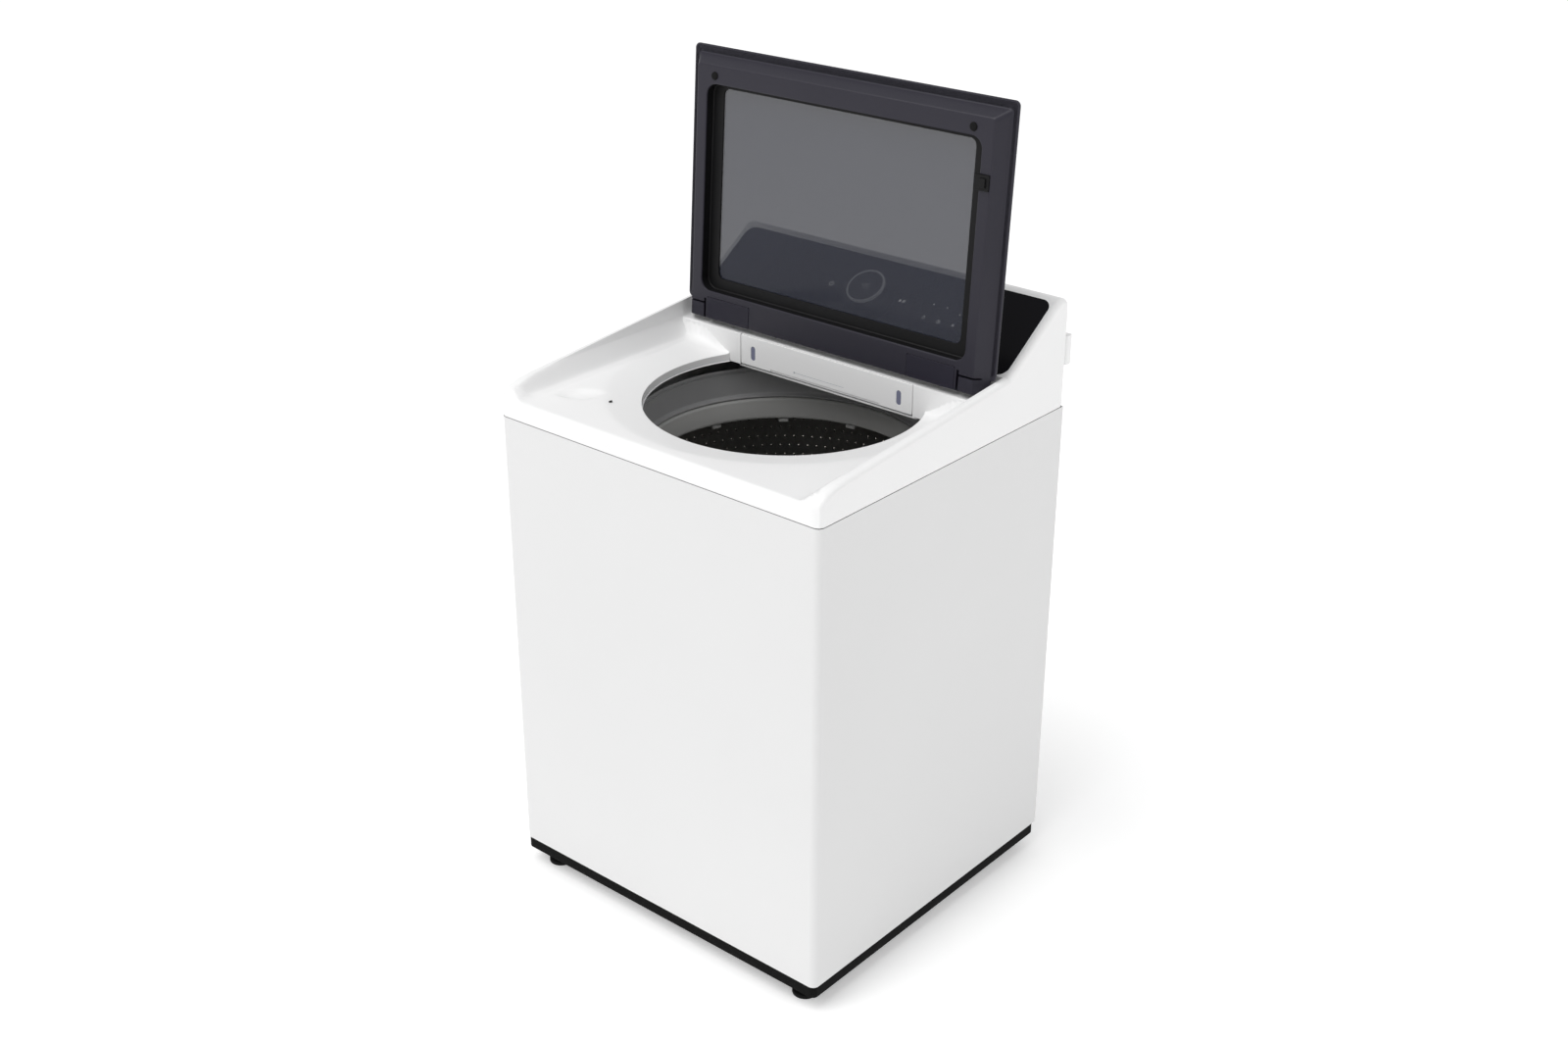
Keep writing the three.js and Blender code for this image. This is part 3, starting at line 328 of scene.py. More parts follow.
# A closed or axis-ended (radius, height) profile turned round; heights run along the axis.
def turn(profile, steps=96, centre=(0, 0), axis=None, start=None):
    points, faces = [], []
    closed = profile[0][0] > 1e-6
    rows = len(profile)
    for i in range(steps):
        angle = 2 * math.pi * i / steps
        for radius, height in profile:
            points.append((radius * math.cos(angle), radius * math.sin(angle), height))
    for i in range(steps):
        nextTurn = (i + 1) % steps
        for j in range(rows if closed else rows - 1):
            k = (j + 1) % rows
            faces.append((i * rows + j, nextTurn * rows + j, nextTurn * rows + k, i * rows + k))
    points = np.array(points)
    if axis is None:
        points = points + np.array([centre[0], centre[1], 0])
    else:
        turned = Vector((0, 0, 1)).rotation_difference(Vector(axis)).to_matrix()
        points = points @ np.array(turned).T + np.array(start)
    points = [place(*p) for p in points]
    bm = bmesh.new()
    corners = [bm.verts.new(p) for p in points]
    for face in faces:
        try:
            bm.faces.new([corners[i] for i in face])
        except ValueError:
            pass
    bmesh.ops.remove_doubles(bm, verts=bm.verts, dist=1e-6)
    bmesh.ops.dissolve_degenerate(bm, dist=1e-7, edges=bm.edges)
    bmesh.ops.recalc_face_normals(bm, faces=bm.faces)
    mesh = meshFrom(bm, "turned")
    sharpen(mesh, 32)
    return mesh


# The profile with its corners cut by short arcs; a third value on a point overrides the radius.
def rounded(profile, radius, steps=4):
    result = []
    count = len(profile)
    closed = profile[0][0] > 1e-6
    for i, point in enumerate(profile):
        here = np.array(point[:2], float)
        size = point[2] if len(point) > 2 else radius
        if (not closed and i in (0, count - 1)) or size <= 0:
            result.append(tuple(here))
            continue
        before = np.array(profile[i - 1][:2], float) - here
        after = np.array(profile[(i + 1) % count][:2], float) - here
        reach = min(size, np.linalg.norm(before) * 0.45, np.linalg.norm(after) * 0.45)
        a = here + before / np.linalg.norm(before) * reach
        b = here + after / np.linalg.norm(after) * reach
        for k in range(steps + 1):
            t = k / steps
            result.append(tuple((1 - t) ** 2 * a + 2 * t * (1 - t) * here + t ** 2 * b))
    return result


# An outline raised from low to high, its rims rounded.
def prism(outline, low, high, lay=place, bevel=0.0, segments=2):
    count = len(outline)
    points = [lay(x, y, low) for x, y in outline] + [lay(x, y, high) for x, y in outline]
    faces = [tuple(range(count)), tuple(range(count, 2 * count))]
    faces += [(i, (i + 1) % count, count + (i + 1) % count, count + i) for i in range(count)]
    mesh = meshOf(points, faces)
    if bevel > 0:
        mesh = modified(mesh, ("BEVEL", {"width": bevel * mm, "segments": segments, "limit_method": "ANGLE",
                                         "angle_limit": math.radians(50), "use_clamp_overlap": True}))
    sharpen(mesh)
    return mesh


# Rings of equal point count joined one after another.
def loft(loops, lay, closed=True):
    count = len(loops[0][0])
    points = [lay(x, u, t) for outline, t in loops for x, u in outline]
    faces = []
    for k in range(len(loops) if closed else len(loops) - 1):
        n = (k + 1) % len(loops)
        for i in range(count):
            j = (i + 1) % count
            faces.append((k * count + i, k * count + j, n * count + j, n * count + i))
    return points, faces


def roundRect(x0, x1, y0, y1, radius, steps=6):
    outline = []
    for cx, cy, first in ((x1 - radius, y0 + radius, -90), (x1 - radius, y1 - radius, 0),
                          (x0 + radius, y1 - radius, 90), (x0 + radius, y0 + radius, 180)):
        for k in range(steps + 1):
            angle = math.radians(first + 90 * k / steps)
            outline.append((cx + radius * math.cos(angle), cy + radius * math.sin(angle)))
    return outline


def joined(*meshes):
    bm = bmesh.new()
    for mesh in meshes:
        bm.from_mesh(mesh)
    result = meshFrom(bm, "joined")
    sharpen(result)
    return result


def smoothStep(t):
    t = np.clip(t, 0, 1)
    return t * t * (3 - 2 * t)


# The lower of two heights with the crossing rounded.
def softMin(a, b, width):
    t = np.clip(0.5 + 0.5 * (b - a) / width, 0, 1)
    return b * (1 - t) + a * t - width * t * (1 - t)


def softMax(a, b, width):
    return -softMin(-a, -b, width)


cover = {
    "halfWidth": 343, "halfDepth": 324, "corner": 12, "edgeRound": 9, "seam": 884.3, "rim": 238,
    "rimZ": 904, "flangeZ": 891, "rimY": 1, "deckZ": 917, "dishRadius": 300, "wallY": 104,
    "fillets": (5, 29), "drawerHalf": 189.5, "mouthY": 108.5, "troughZ": 947.5, "troughBack": 156,
    "innerX": 329.5, "kneeY": 157.6, "topY": 292.7, "topZ": 1074.3, "slope": 34.66, "topRound": 20,
    "sweep": (-209, 29), "rays": 300, "rings": 26, "lip": 0.7, "skin": 2.2, "sideWall": 214,
    "backFoot": 1051.8, "footDrop": 8, "bowl": (-249, -225), "bowlTurn": 43, "bowlLong": 46,
    "bowlShort": 27, "bowlDepth": 9,
}


def crestHeight(y):
    y = np.asarray(y, float)
    straight = 946 + (y + 240) * 0.0875
    nose = np.interp(y, [-324, -320, -314, -308, -302, -290, -275, -258, -240],
                     [921, 925.5, 930, 933.3, 935.6, 939.2, 942.3, 944.6, 946])
    return np.where(y < -240, nose, straight)


# The white surface in front of the drawer wall.
def deckHeight(x, y):
    c = cover
    x = np.asarray(x, float)
    y = np.asarray(y, float)
    radius = np.hypot(x, y - c["rimY"])
    lean = (c["dishRadius"] - radius) / (c["dishRadius"] - c["rim"])
    deck = c["deckZ"] - (c["deckZ"] - c["rimZ"]) * (lean + np.sqrt(lean ** 2 + 0.006)) / 2
    bowlAngle = math.radians(c["bowlTurn"])
    bx, by = x - c["bowl"][0], y - c["bowl"][1]
    along = (bx * math.cos(bowlAngle) + by * math.sin(bowlAngle)) / c["bowlLong"]
    across = (-bx * math.sin(bowlAngle) + by * math.cos(bowlAngle)) / c["bowlShort"]
    inside = 1 - np.abs(along) ** 1.7 - np.abs(across) ** 1.7
    deck = deck - c["bowlDepth"] * smoothStep(inside * 1.1) * (0.62 - 0.38 * along)
    fillet = c["fillets"][0] + (c["fillets"][1] - c["fillets"][0]) * smoothStep((np.abs(x) - 214) / 62)
    rise = np.clip(y - (c["wallY"] - fillet), 0, fillet)
    deck = deck + fillet - np.sqrt(np.maximum(fillet ** 2 - rise ** 2, 0))
    return softMax(deck, cheekHeight(x, y), 5)


# The raised border at each side: its inner wall, then its crest.
def cheekHeight(x, y):
    wall = np.interp(np.abs(x), [280, 292, 300, 305, 309, 314, 321.5, 328.2, 329.6, 331],
                     [880, 908, 917, 919.2, 922, 928, 939, 949.5, 958, 1060])
    return softMin(wall, crestHeight(y), 5)


# How far the surface falls towards the outer edge.
def edgeDrop(depth):
    r = cover["edgeRound"]
    d = np.clip(depth, 0, r)
    return r - np.sqrt(np.maximum(r ** 2 - (r - d) ** 2, 0))


# Where a ray from the opening's centre meets the cover's outline, moved in by inset.
def insetPoint(angle, inset):
    c = cover
    w, d = c["halfWidth"] - inset, c["halfDepth"] - inset
    r = max(c["corner"] - inset, 0.5)
    dx, dy = math.cos(angle), math.sin(angle)
    oy = c["rimY"]
    reach = 1e9
    if abs(dx) > 1e-9:
        reach = min(reach, w / abs(dx))
    if dy < -1e-9:
        reach = min(reach, (-d - oy) / dy)
    x, y = dx * reach, oy + dy * reach
    if abs(x) > w - r and y < -d + r:
        cx, cy = math.copysign(w - r, x), -d + r
        px, py = -cx, oy - cy
        b = px * dx + py * dy
        q = px * px + py * py - r * r
        t = -b + math.sqrt(max(b * b - q, 0))
        x, y = dx * t, oy + dy * t
    return x, y


# The faces of a grid of points, row by row.
def gridFaces(rows, width):
    return [(i * width + j, i * width + j + 1, (i + 1) * width + j + 1, (i + 1) * width + j)
            for i in range(rows - 1) for j in range(width - 1)]


def coverFront():
    c = cover
    insets = [0, 0.35, 1.2, 2.4, 4, 6, 8, 10, 12, 12.8, 13.4, 14, 14.8, 16, 18, 20.5, 23, 26, 29, 31.5, 34,
              37, 40, 43, 47]
    points = []
    for angle in np.linspace(*(math.radians(limit) for limit in c["sweep"]), c["rays"]):
        start = len(points)
        points.append((*insetPoint(angle, c["lip"]), c["seam"]))
        points.append((*insetPoint(angle, 0), c["seam"] + c["lip"]))
        for inset in insets:
            x, y = insetPoint(angle, inset)
            points.append((x, y, float(deckHeight(x, y)) - float(edgeDrop(inset))))
        last = insetPoint(angle, insets[-1])
        rim = (math.cos(angle) * (c["rim"] + 1.2), c["rimY"] + math.sin(angle) * (c["rim"] + 1.2))
        for k in range(1, c["rings"] + 1):
            t = k / c["rings"]
            x, y = last[0] + (rim[0] - last[0]) * t, last[1] + (rim[1] - last[1]) * t
            points.append((x, y, float(deckHeight(x, y))))
        rimZ = points[-1][2]
        for radius, z in ((c["rim"] + 0.4, rimZ - 0.35), (c["rim"], rimZ - 1.3),
                          (c["rim"], c["flangeZ"] + 1), (c["rim"] + 0.5, c["flangeZ"])):
            points.append((math.cos(angle) * radius, c["rimY"] + math.sin(angle) * radius, z))
        width = len(points) - start
    bm = bmesh.new()
    corners = [bm.verts.new(place(*p)) for p in points]
    for face in gridFaces(c["rays"], width):
        bm.faces.new([corners[i] for i in face])
    bmesh.ops.bisect_plane(bm, geom=bm.verts[:] + bm.edges[:] + bm.faces[:], dist=1e-6,
                           plane_co=place(0, c["wallY"], 0), plane_no=(0, 1, 0), clear_outer=True)
    return meshFrom(bm, "front")


def consoleHeight(x, y):
    c = cover
    lean = math.radians(c["slope"])
    inside = np.abs(x) < 330.2
    centreY = c["topY"] + c["topRound"] * math.sin(lean)
    centreZ = c["topZ"] - c["topRound"] * math.cos(lean)
    line = c["topZ"] + (y - c["topY"]) * math.tan(lean) - np.where(inside & (y < c["topY"] - 1), 0.4, 0.0)
    arc = centreZ + np.sqrt(np.maximum(c["topRound"] ** 2 - (y - centreY) ** 2, 0))
    slope = np.where(y <= c["topY"], line, arc)
    return np.minimum(crestHeight(y), slope) if y < c["kneeY"] else slope


# The floor behind the drawer, rising into the cheeks at its ends.
def troughHeight(x, y):
    return float(softMax(cover["troughZ"], cheekHeight(x, y), 2))


def coverRear():
    c = cover
    half = [0, 60, 120, 180, 189.2, 189.5, 189.8, 200, 213, 215, 228, 240, 252, 264, 276, 288, 296, 300,
            303, 306, 309, 311.5, 314, 317, 320, 322.5, 325, 327, 328.2, 329, 329.6, 330.2, 331, 333, 335,
            337, 339, 340.6, 341.8, 342.65, 343]
    xs = [-x for x in reversed(half[1:])] + half
    rows = []
    wallRows = 4  # the drawer wall, from its foot to its top edge
    ys = [112, 120, 130, 140, 150, 153.5, 155.2, 155.8, 156, 156.01, 156.3, 157.2, 158.5, 162, 175, 200,
          230, 260, 280, 290, 291.8, 292.6, 292.8, 293.6, 295, 298, 301, 304, 307, 310, 313, 316, 318.5,
          320.5, 322, 323, 323.6, 324]
    for step in range(wallRows):
        row = []
        for x in xs:
            side = abs(x)
            mouth = side < c["drawerHalf"]
            y0 = c["mouthY"] if mouth else c["wallY"]
            if side > c["innerX"]:
                z = float(cheekHeight(x, y0 + step * 0.6)) - float(edgeDrop(c["halfWidth"] - side))
                row.append((x, y0 + step * 0.6, z))
                continue
            if side >= c["sideWall"]:
                low = float(deckHeight(x, y0))
                high = troughHeight(x, y0)
                back = [-0.15, -0.15, 0.6, 1.8][step]
                row.append((x, y0 + back, [low - c["footDrop"], low, max(low, high - 0.6), high][step]))
                continue
            low = 944.5 if mouth else c["flangeZ"]
            spot = [(0, low), (0, c["troughZ"] - 2), (0.6, c["troughZ"] - 0.6), (2, c["troughZ"])][step]
            row.append((x, y0 + spot[0], spot[1]))
        rows.append(row)
    for y in ys:
        row = []
        for x in xs:
            side = abs(x)
            narrow = 0.0
            if y > c["halfDepth"] - c["corner"]:
                r = c["corner"]
                narrow = r - math.sqrt(max(r * r - (y - c["halfDepth"] + r) ** 2, 0))
            px = x * (c["halfWidth"] - narrow * smoothStep((side - 290) / 53)) / c["halfWidth"]
            if side <= c["innerX"] and y <= c["troughBack"]:
                z = troughHeight(x, y)
                if y > 154:
                    z += 2 - math.sqrt(max(4 - (y - 154) ** 2, 0))
            elif y <= c["troughBack"]:
                z = float(cheekHeight(x, y)) - float(edgeDrop(c["halfWidth"] - side))
            else:
                z = float(consoleHeight(x, y)) - float(edgeDrop(c["halfWidth"] - side))
            row.append((px, y, z))
        rows.append(row)
    rows.append([(x, c["halfDepth"], c["backFoot"]) for x, _, _ in rows[-1]])
    width = len(xs)
    points = [p for row in rows for p in row]
    faces = gridFaces(len(rows), width)
    for side, j in ((-1, 0), (1, width - 1)):
        chain = [0] + list(range(wallRows, len(rows) - 1))
        lows = []
        for i in chain[1:] + chain[:1]:
            x, y, _ = rows[i][j]
            lows.append(len(points))
            points.append((x, y if i else c["wallY"], c["seam"] + c["lip"]))
        lows = lows[-1:] + lows[:-1]
        for k in range(len(chain) - 1):
            a, b = chain[k] * width + j, chain[k + 1] * width + j
            face = (a, b, lows[k + 1], lows[k])
            faces.append(face if side < 0 else tuple(reversed(face)))
            lips = []
            for low in (lows[k + 1], lows[k]):
                x, y, _ = points[low]
                lips.append(len(points))
                points.append((x - math.copysign(c["lip"], x), y, c["seam"]))
            faces.append((lows[k], lows[k + 1], lips[0], lips[1]))
    bm = bmesh.new()
    corners = [bm.verts.new(place(*p)) for p in points]
    for face in faces:
        try:
            bm.faces.new([corners[i] for i in face])
        except ValueError:
            pass
    return meshFrom(bm, "rear")


def topCover():
    bm = bmesh.new()
    for mesh in (coverFront(), coverRear()):
        bm.from_mesh(mesh)
    bmesh.ops.remove_doubles(bm, verts=bm.verts, dist=2e-5)
    bmesh.ops.dissolve_degenerate(bm, dist=1e-6, edges=bm.edges)
    bm.normal_update()
    for face in bm.faces:
        centre = face.calc_center_median()
        flat = Vector((centre.x, centre.y - planY, 0))
        hint = Vector((0, 0, 1))
        if abs(face.normal.z) < 0.25:  # walls: outwards at the rim of the cover, inwards round the well
            hint = flat
            if centre.z > 0.905 and abs(centre.x) < 0.3305 and centre.y < planY + 0.158:
                hint = Vector((-centre.x * (abs(centre.x) > 0.32), -1, 0))
            if math.hypot(centre.x, centre.y - planY) < 0.2395:
                hint = -flat
        if face.normal.dot(hint) < 0:
            face.normal_flip()
    shell = modified(meshFrom(bm, "cover"), ("SOLIDIFY", {"thickness": cover["skin"] * mm, "offset": -1.0}))
    for vertex in shell.vertices:
        for axis in range(3):
            vertex.co[axis] = min(max(vertex.co[axis], coverLow[axis]), coverHigh[axis])
    sharpen(shell, 30)
    keep("cover_shell", shell, "whitePlastic", "cabinet", ("top_cover",))


# A dark block filling the bleach outlet slit: painted shade in the opening.
def bleachOutlet():
    outlet = {"x": (-191.8, -188.6), "y": (-221.5, -214.5), "z": (904, 917.3)}
    mouth = prism(roundRect(*outlet["x"], *outlet["y"], 1.4), *outlet["z"], bevel=0.3)
    keep("bleach_outlet", mouth, "paintedSlotShade", "cabinet")


# A dark strip set back in the joint under the cover: painted shadow in the seam.
def seamShadowStrip():
    strip = {"inset": 0.5, "width": 4, "z": (883.74, 884.26)}
    c = cover
    w, d = c["halfWidth"] - strip["inset"], c["halfDepth"] - strip["inset"]
    loops = []
    for grow, z in ((0, strip["z"][0]), (0, strip["z"][1]), (-strip["width"], strip["z"][1]),
                    (-strip["width"], strip["z"][0])):
        loops.append((roundRect(-w - grow, w + grow, -d - grow, d + grow, 11.5 + grow, 8), z))
    mesh = meshOf(*loft(loops, place))
    sharpen(mesh)
    keep("seam_shadow_strip", mesh, "paintedSlotShade", "cabinet")


topCover()
bleachOutlet()
seamShadowStrip()
print("top cover made")


lid = {
    "half": 333.4, "lipLow": -447.8, "lean": 3.61, "topY": 156.2, "topZ": 1427.2, "lipHalf": 322.8,
    "faceHalf": 306, "depth": 22, "windowHalf": 285, "windowLow": -421, "windowTop": -60,
    "windowCorner": 20, "tailEnd": -478, "tailRound": 8, "sightHalf": 262, "sightLow": -401,
    "sightTop": -68, "sightCorner": 12, "glassHalf": 330.1, "pivotU": -449.8, "slotX": 274.5,
    "slotHalf": 2.3, "slit": (-446.0, -442.6), "slitFloor": 10, "coverX": 220, "coverHalf": 48,
    "coverLow": -470.5, "coverTop": -432.4, "bumperX": 267.4, "bumperU": -46,
    "latch": (285.4, 305.6, -141.6, -115.4), "hinge": (126.2, 978.4),
}


# A place on the lid: x across, u up along it, t out from the glass.
def layLid(x, u, t):
    lean = math.radians(lid["lean"])
    return place(x, lid["topY"] + u * math.sin(lean) - t * math.cos(lean),
                 lid["topZ"] + u * math.cos(lean) + t * math.sin(lean))


def boolean(mesh, *tools, operation="DIFFERENCE"):
    for tool in tools:
        helper = bpy.data.objects.new("tool", tool)
        bpy.context.collection.objects.link(helper)
        mesh = modified(mesh, ("BOOLEAN", {"operation": operation, "object": helper, "solver": "MANIFOLD"}))
        bpy.data.objects.remove(helper)
    return mesh


def lidBox(x0, x1, u0, u1, t0, t1, bevel=0.0):
    return prism([(x0, u0), (x1, u0), (x1, u1), (x0, u1)], t0, t1, layLid, bevel)


def lidFrame():
    c = lid
    low = c["lipLow"]

    def ring(half, bottom, top, corner, t):
        return roundRect(-half, half, bottom, top, corner, 8), t

    def window(grow, t):
        w, r = c["windowHalf"] + grow, c["windowCorner"] + grow
        return ring(w, c["windowLow"] - grow, c["windowTop"] + grow, r, t)

    def sight(grow, t):
        s, r = c["sightHalf"] + grow, c["sightCorner"] + grow
        return ring(s, c["sightLow"] - grow, c["sightTop"] + grow, r, t)

    loops = [
        ring(330.4, low + 8, -3, 7, -4), ring(332.5, low + 0.9, -0.9, 8.2, -4),
        ring(333.1, low + 0.3, -0.3, 8.8, -3.7), ring(333.4, low, 0, 9, -3.1),
        ring(333.4, low, 0, 9, -1.2), ring(333.0, low + 0.4, -0.4, 8.7, -0.4),
        ring(332.1, low + 1.3, -1.3, 8, 0), ring(324.4, low + 2, -12.6, 7, 0),
        ring(323.2, low + 2, -13.8, 7, 0.3), ring(322.2, low + 2, -15, 7, 1.2),
        ring(307.6, low + 2, -26.8, 6, 20), ring(306.6, low + 2, -27.9, 6, 21.1),
        ring(305.4, low + 2, -29.2, 6, 21.8), ring(303.9, low + 2, -30.7, 6, 22), window(2.6, 22),
        window(1.2, 21.7), window(0.3, 20.9), window(0, 19.6), window(0, 4.2), window(-0.3, 3.4),
        ring(c["windowHalf"] - 1.1, c["windowLow"] + 1.1, c["windowTop"] - 1.1, 19, 3), sight(1.4, 3),
        sight(0.3, 2.6), sight(0, 1.6), sight(0, 0), ring(330.4, low + 8, -3, 7, 0),
    ]
    whole = boolean(meshOf(*loft(loops, layLid)), lidTail(), operation="UNION")
    cuts = []
    for side in (-1, 1):
        x = side * c["slotX"]
        cuts.append(lidBox(x - c["slotHalf"], x + c["slotHalf"], -510, c["pivotU"] + 14, -30, 40))
        ends = sorted((side * (c["slotX"] + 1), side * (c["half"] - 4)))
        cuts.append(lidBox(*ends, *c["slit"], c["slitFloor"], 40))
        cx, h = side * c["coverX"], c["coverHalf"] + 0.55
        cuts.append(lidBox(cx - h, cx + h, c["coverLow"] - 0.55, c["coverTop"] + 0.55, 19.4, 40))
    cuts.append(lidBox(*c["latch"], 20.8, 40))
    whole = boolean(whole, *cuts)
    sharpen(whole, 32)
    keep("lid_casing", whole, "satinBlack", "lid", ("lid_frame",))


# The block below the window that holds the hinges.
def lidTail():
    c = lid
    half, face, low, deep = c["lipHalf"], c["faceHalf"], c["tailEnd"], c["depth"]

    def layAcross(x, t, u):
        return layLid(x, u, t)

    def layAlong(u, t, x):
        return layLid(x, u, t)

    across = prism([(-half, -4), (half, -4), (half, 0), (face, deep), (-face, deep), (-half, 0)], -500,
                   -428, layAcross)
    along = prism([(low + 6, -4), (-428.6, -4), (-428.6, deep), (-470, deep), (low, 4), (low + 1, 0)],
                  -340, 340, layAlong)
    plan = prism(roundRect(-half, half, low, -300, c["tailRound"], 6), -20, 40, layLid)
    block = boolean(boolean(across, along, operation="INTERSECT"), plan, operation="INTERSECT")
    return modified(block, ("BEVEL", {"width": 1.4 * mm, "segments": 3, "limit_method": "ANGLE",
                                      "angle_limit": math.radians(28), "use_clamp_overlap": True}))


# The darker skin round the inside of the window: the ledge's black border, and painted shade on the window
# walls.
def windowLinerAndShade():
    c = lid
    w, s, skin = c["windowHalf"], c["sightHalf"], 0.12

    def ring(half, grow, corner, t):
        if half == w:
            return roundRect(-w - grow, w + grow, c["windowLow"] - grow, c["windowTop"] + grow, corner, 8), t
        return roundRect(-s - grow, s + grow, c["sightLow"] - grow, c["sightTop"] + grow, corner, 8), t

    loops = [ring(w, 0.1, 20.1, 19.4), ring(w, -skin, 19.9, 19.4), ring(w, -skin, 19.9, 4.4),
             ring(w, -1.4, 18.6, 3.2), ring(s, 1.4, 13.4, 3.2), ring(s, 0.2, 12.2, 2.7),
             ring(s, -skin, 11.9, 1.6), ring(s, -skin, 11.9, 0.1), ring(s, 0.4, 12.4, 0.1),
             ring(s, 2.0, 14, 2.7), ring(w, -1.2, 18.8, 2.7), ring(w, 0.3, 20.3, 4.4)]
    liner = meshOf(*loft(loops, layLid))
    sharpen(liner)
    keep("window_liner_and_shade", liner, "blackPlastic", "lid")


def lidGlass():
    c = lid
    w, low = c["glassHalf"], c["lipLow"] + 8.3

    def ring(grow, t):
        return roundRect(-w - grow, w + grow, low - grow, -3.3 + grow, 6.6 + grow, 8), t

    loops = [ring(-0.6, -4), ring(-0.15, -3.85), ring(0, -3.4), ring(0, -0.8), ring(-0.15, -0.45),
             ring(-0.5, -0.3)]
    points, faces = loft(loops, layLid, closed=False)
    count = len(loops[0][0])
    faces += [tuple(range(count)), tuple(range(len(points) - count, len(points)))]
    glass = meshOf(points, faces)
    sharpen(glass)
    keep("lid_pane", glass, "lidTint", "lid", ("lid_glass",))


def lidFittings():
    c = lid
    for side, name in ((-1, "left"), (1, "right")):
        x = side * c["coverX"]
        outline = roundRect(x - c["coverHalf"], x + c["coverHalf"], c["coverLow"], c["coverTop"], 3)
        plate = prism(outline, 19.8, 22.7, layLid, 0.5, 3)
        keep("hinge_plate_" + name, plate, "coverBlack", "lid", ("hinge_cover_" + name,))
        direction = Vector(layLid(0, 0, 1)) - Vector(layLid(0, 0, 0))
        base = layLid(side * c["bumperX"], c["bumperU"], 0)
        start = (base[0] / mm, (base[1] - planY) / mm, base[2] / mm)
        button = rounded([(0, 21.6), (7, 21.6), (7, 22.6), (6.2, 24.1), (4, 24.7), (0, 24.8)], 0.6, 3)
        keep("lid_button_" + name, turn(button, 40, axis=direction, start=start), "rubber", "lid",
             ("lid_bumper_" + name,))
        pin = turn(rounded([(0, -28), (4, -28), (4, 28), (0, 28)], 0.5, 3), 40, axis=(1, 0, 0),
                   start=(side * c["slotX"], *c["hinge"]))
        keep("hinge_rod_" + name, pin, "brightSteel", "lid", ("hinge_pin_" + name,))
        soften("hinge_bracket_" + name, "hinge_post_" + name, "blackPlastic", "cabinet", 0.3, 2)
    plate = lidBox(277, 305, -141, -116, 21.4, 25.6, 1.0)
    hook = lidBox(289, 300, -136, -121, 25, 28.9, 0.9)
    groove = lidBox(301.2, 302.2, -138, -119, 25, 25.9, 0.2)
    keep("lid_catch", joined(plate, hook, groove), "blackPlastic", "lid", ("lid_latch",))


lidFrame()
windowLinerAndShade()
lidGlass()
lidFittings()
print("lid made")


console = {
    "footY": 155, "half": 330, "corner": 20, "thick": 3, "dialDown": 79, "dialRadius": 39,
    "dialHeight": 25, "power": (-86.5, 77), "pause": (66.8, 75),
    "dots": [(128, 65), (156, 65), (186, 72.5)], "marks": [(125, 95), (156, 96), (185.5, 96)],
    "skin": 0.12,
}


# A place on the console: x across, v up the slope, n out from it.
def laySlope(x, v, n):
    lean = math.radians(cover["slope"])
    return place(x, cover["topY"] + v * math.cos(lean) - n * math.sin(lean),
                 cover["topZ"] + v * math.sin(lean) + n * math.cos(lean))


def controlGlass():
    c = console
    length = (cover["topY"] - c["footY"]) / math.cos(math.radians(cover["slope"])) - 3
    sheet = prism(roundRect(-c["half"], c["half"], -length, -1, c["corner"], 10), -c["thick"], 0, laySlope,
                  0.7, 3)
    hole = [(6 * math.cos(a), 6 * math.sin(a) - c["dialDown"]) for a in np.linspace(0, 2 * math.pi, 33)[:-1]]
    sheet = boolean(sheet, prism(hole, -8, 8, laySlope))
    sharpen(sheet)
    keep("console_pane", sheet, "panelGlass", "cabinet", ("control_glass",))


def dialAxis():
    low, high = laySlope(0, -console["dialDown"], 0), laySlope(0, -console["dialDown"], 1)
    return (Vector(high) - Vector(low)), (low[0] / mm, (low[1] - planY) / mm, low[2] / mm)


def dialPieces():
    direction, start = dialAxis()
    r, h = console["dialRadius"], console["dialHeight"]
    knob = rounded([(0, -16), (5, -16), (5, 1.2), (r - 2, 1.2), (r - 1, 2.4), (r - 3.2, h - 6),
                    (r - 3.6, h - 5.3), (r - 7.6, h - 5.3), (r - 7.6, h - 1.2, 0.4), (r - 12, h - 1.35, 0),
                    (r - 24, h - 1.5, 0), (0, h - 1.6)], 0.8, 4)
    keep("dial_body", turn(knob, 128, axis=direction, start=start), "dialBlack", "dial", ("dial_knob",))
    # The grey rim glows a little: painted light, it has no lamp.
    ring = rounded([(r - 3.6, h - 5.2), (r - 3.6, h - 1.2), (r - 5, h), (r - 7.4, h), (r - 7.4, h - 5.2)],
                   0.6, 4)
    keep("dial_rim", turn(ring, 128, axis=direction, start=start), "dialGreyPaintedGlow", "dial", ("dial_ring",))


def arcStrip(cx, cy, radius, width, first, last, steps=24):
    angles = [math.radians(first + (last - first) * k / steps) for k in range(steps + 1)]
    outer, inner = ([(cx + r * math.cos(a), cy + r * math.sin(a)) for a in angles]
                    for r in (radius + width / 2, radius - width / 2))
    return outer + inner[::-1]


def bar(x0, y0, x1, y1, width):
    dx, dy = x1 - x0, y1 - y0
    size = math.hypot(dx, dy)
    px, py = -dy / size * width / 2, dx / size * width / 2
    return [(x0 + px, y0 + py), (x1 + px, y1 + py), (x1 - px, y1 - py), (x0 - px, y0 - py)]


def ringStrips(cx, cy, radius, width):
    return [arcStrip(cx, cy, radius, width, 0, 180), arcStrip(cx, cy, radius, width, 180, 360)]
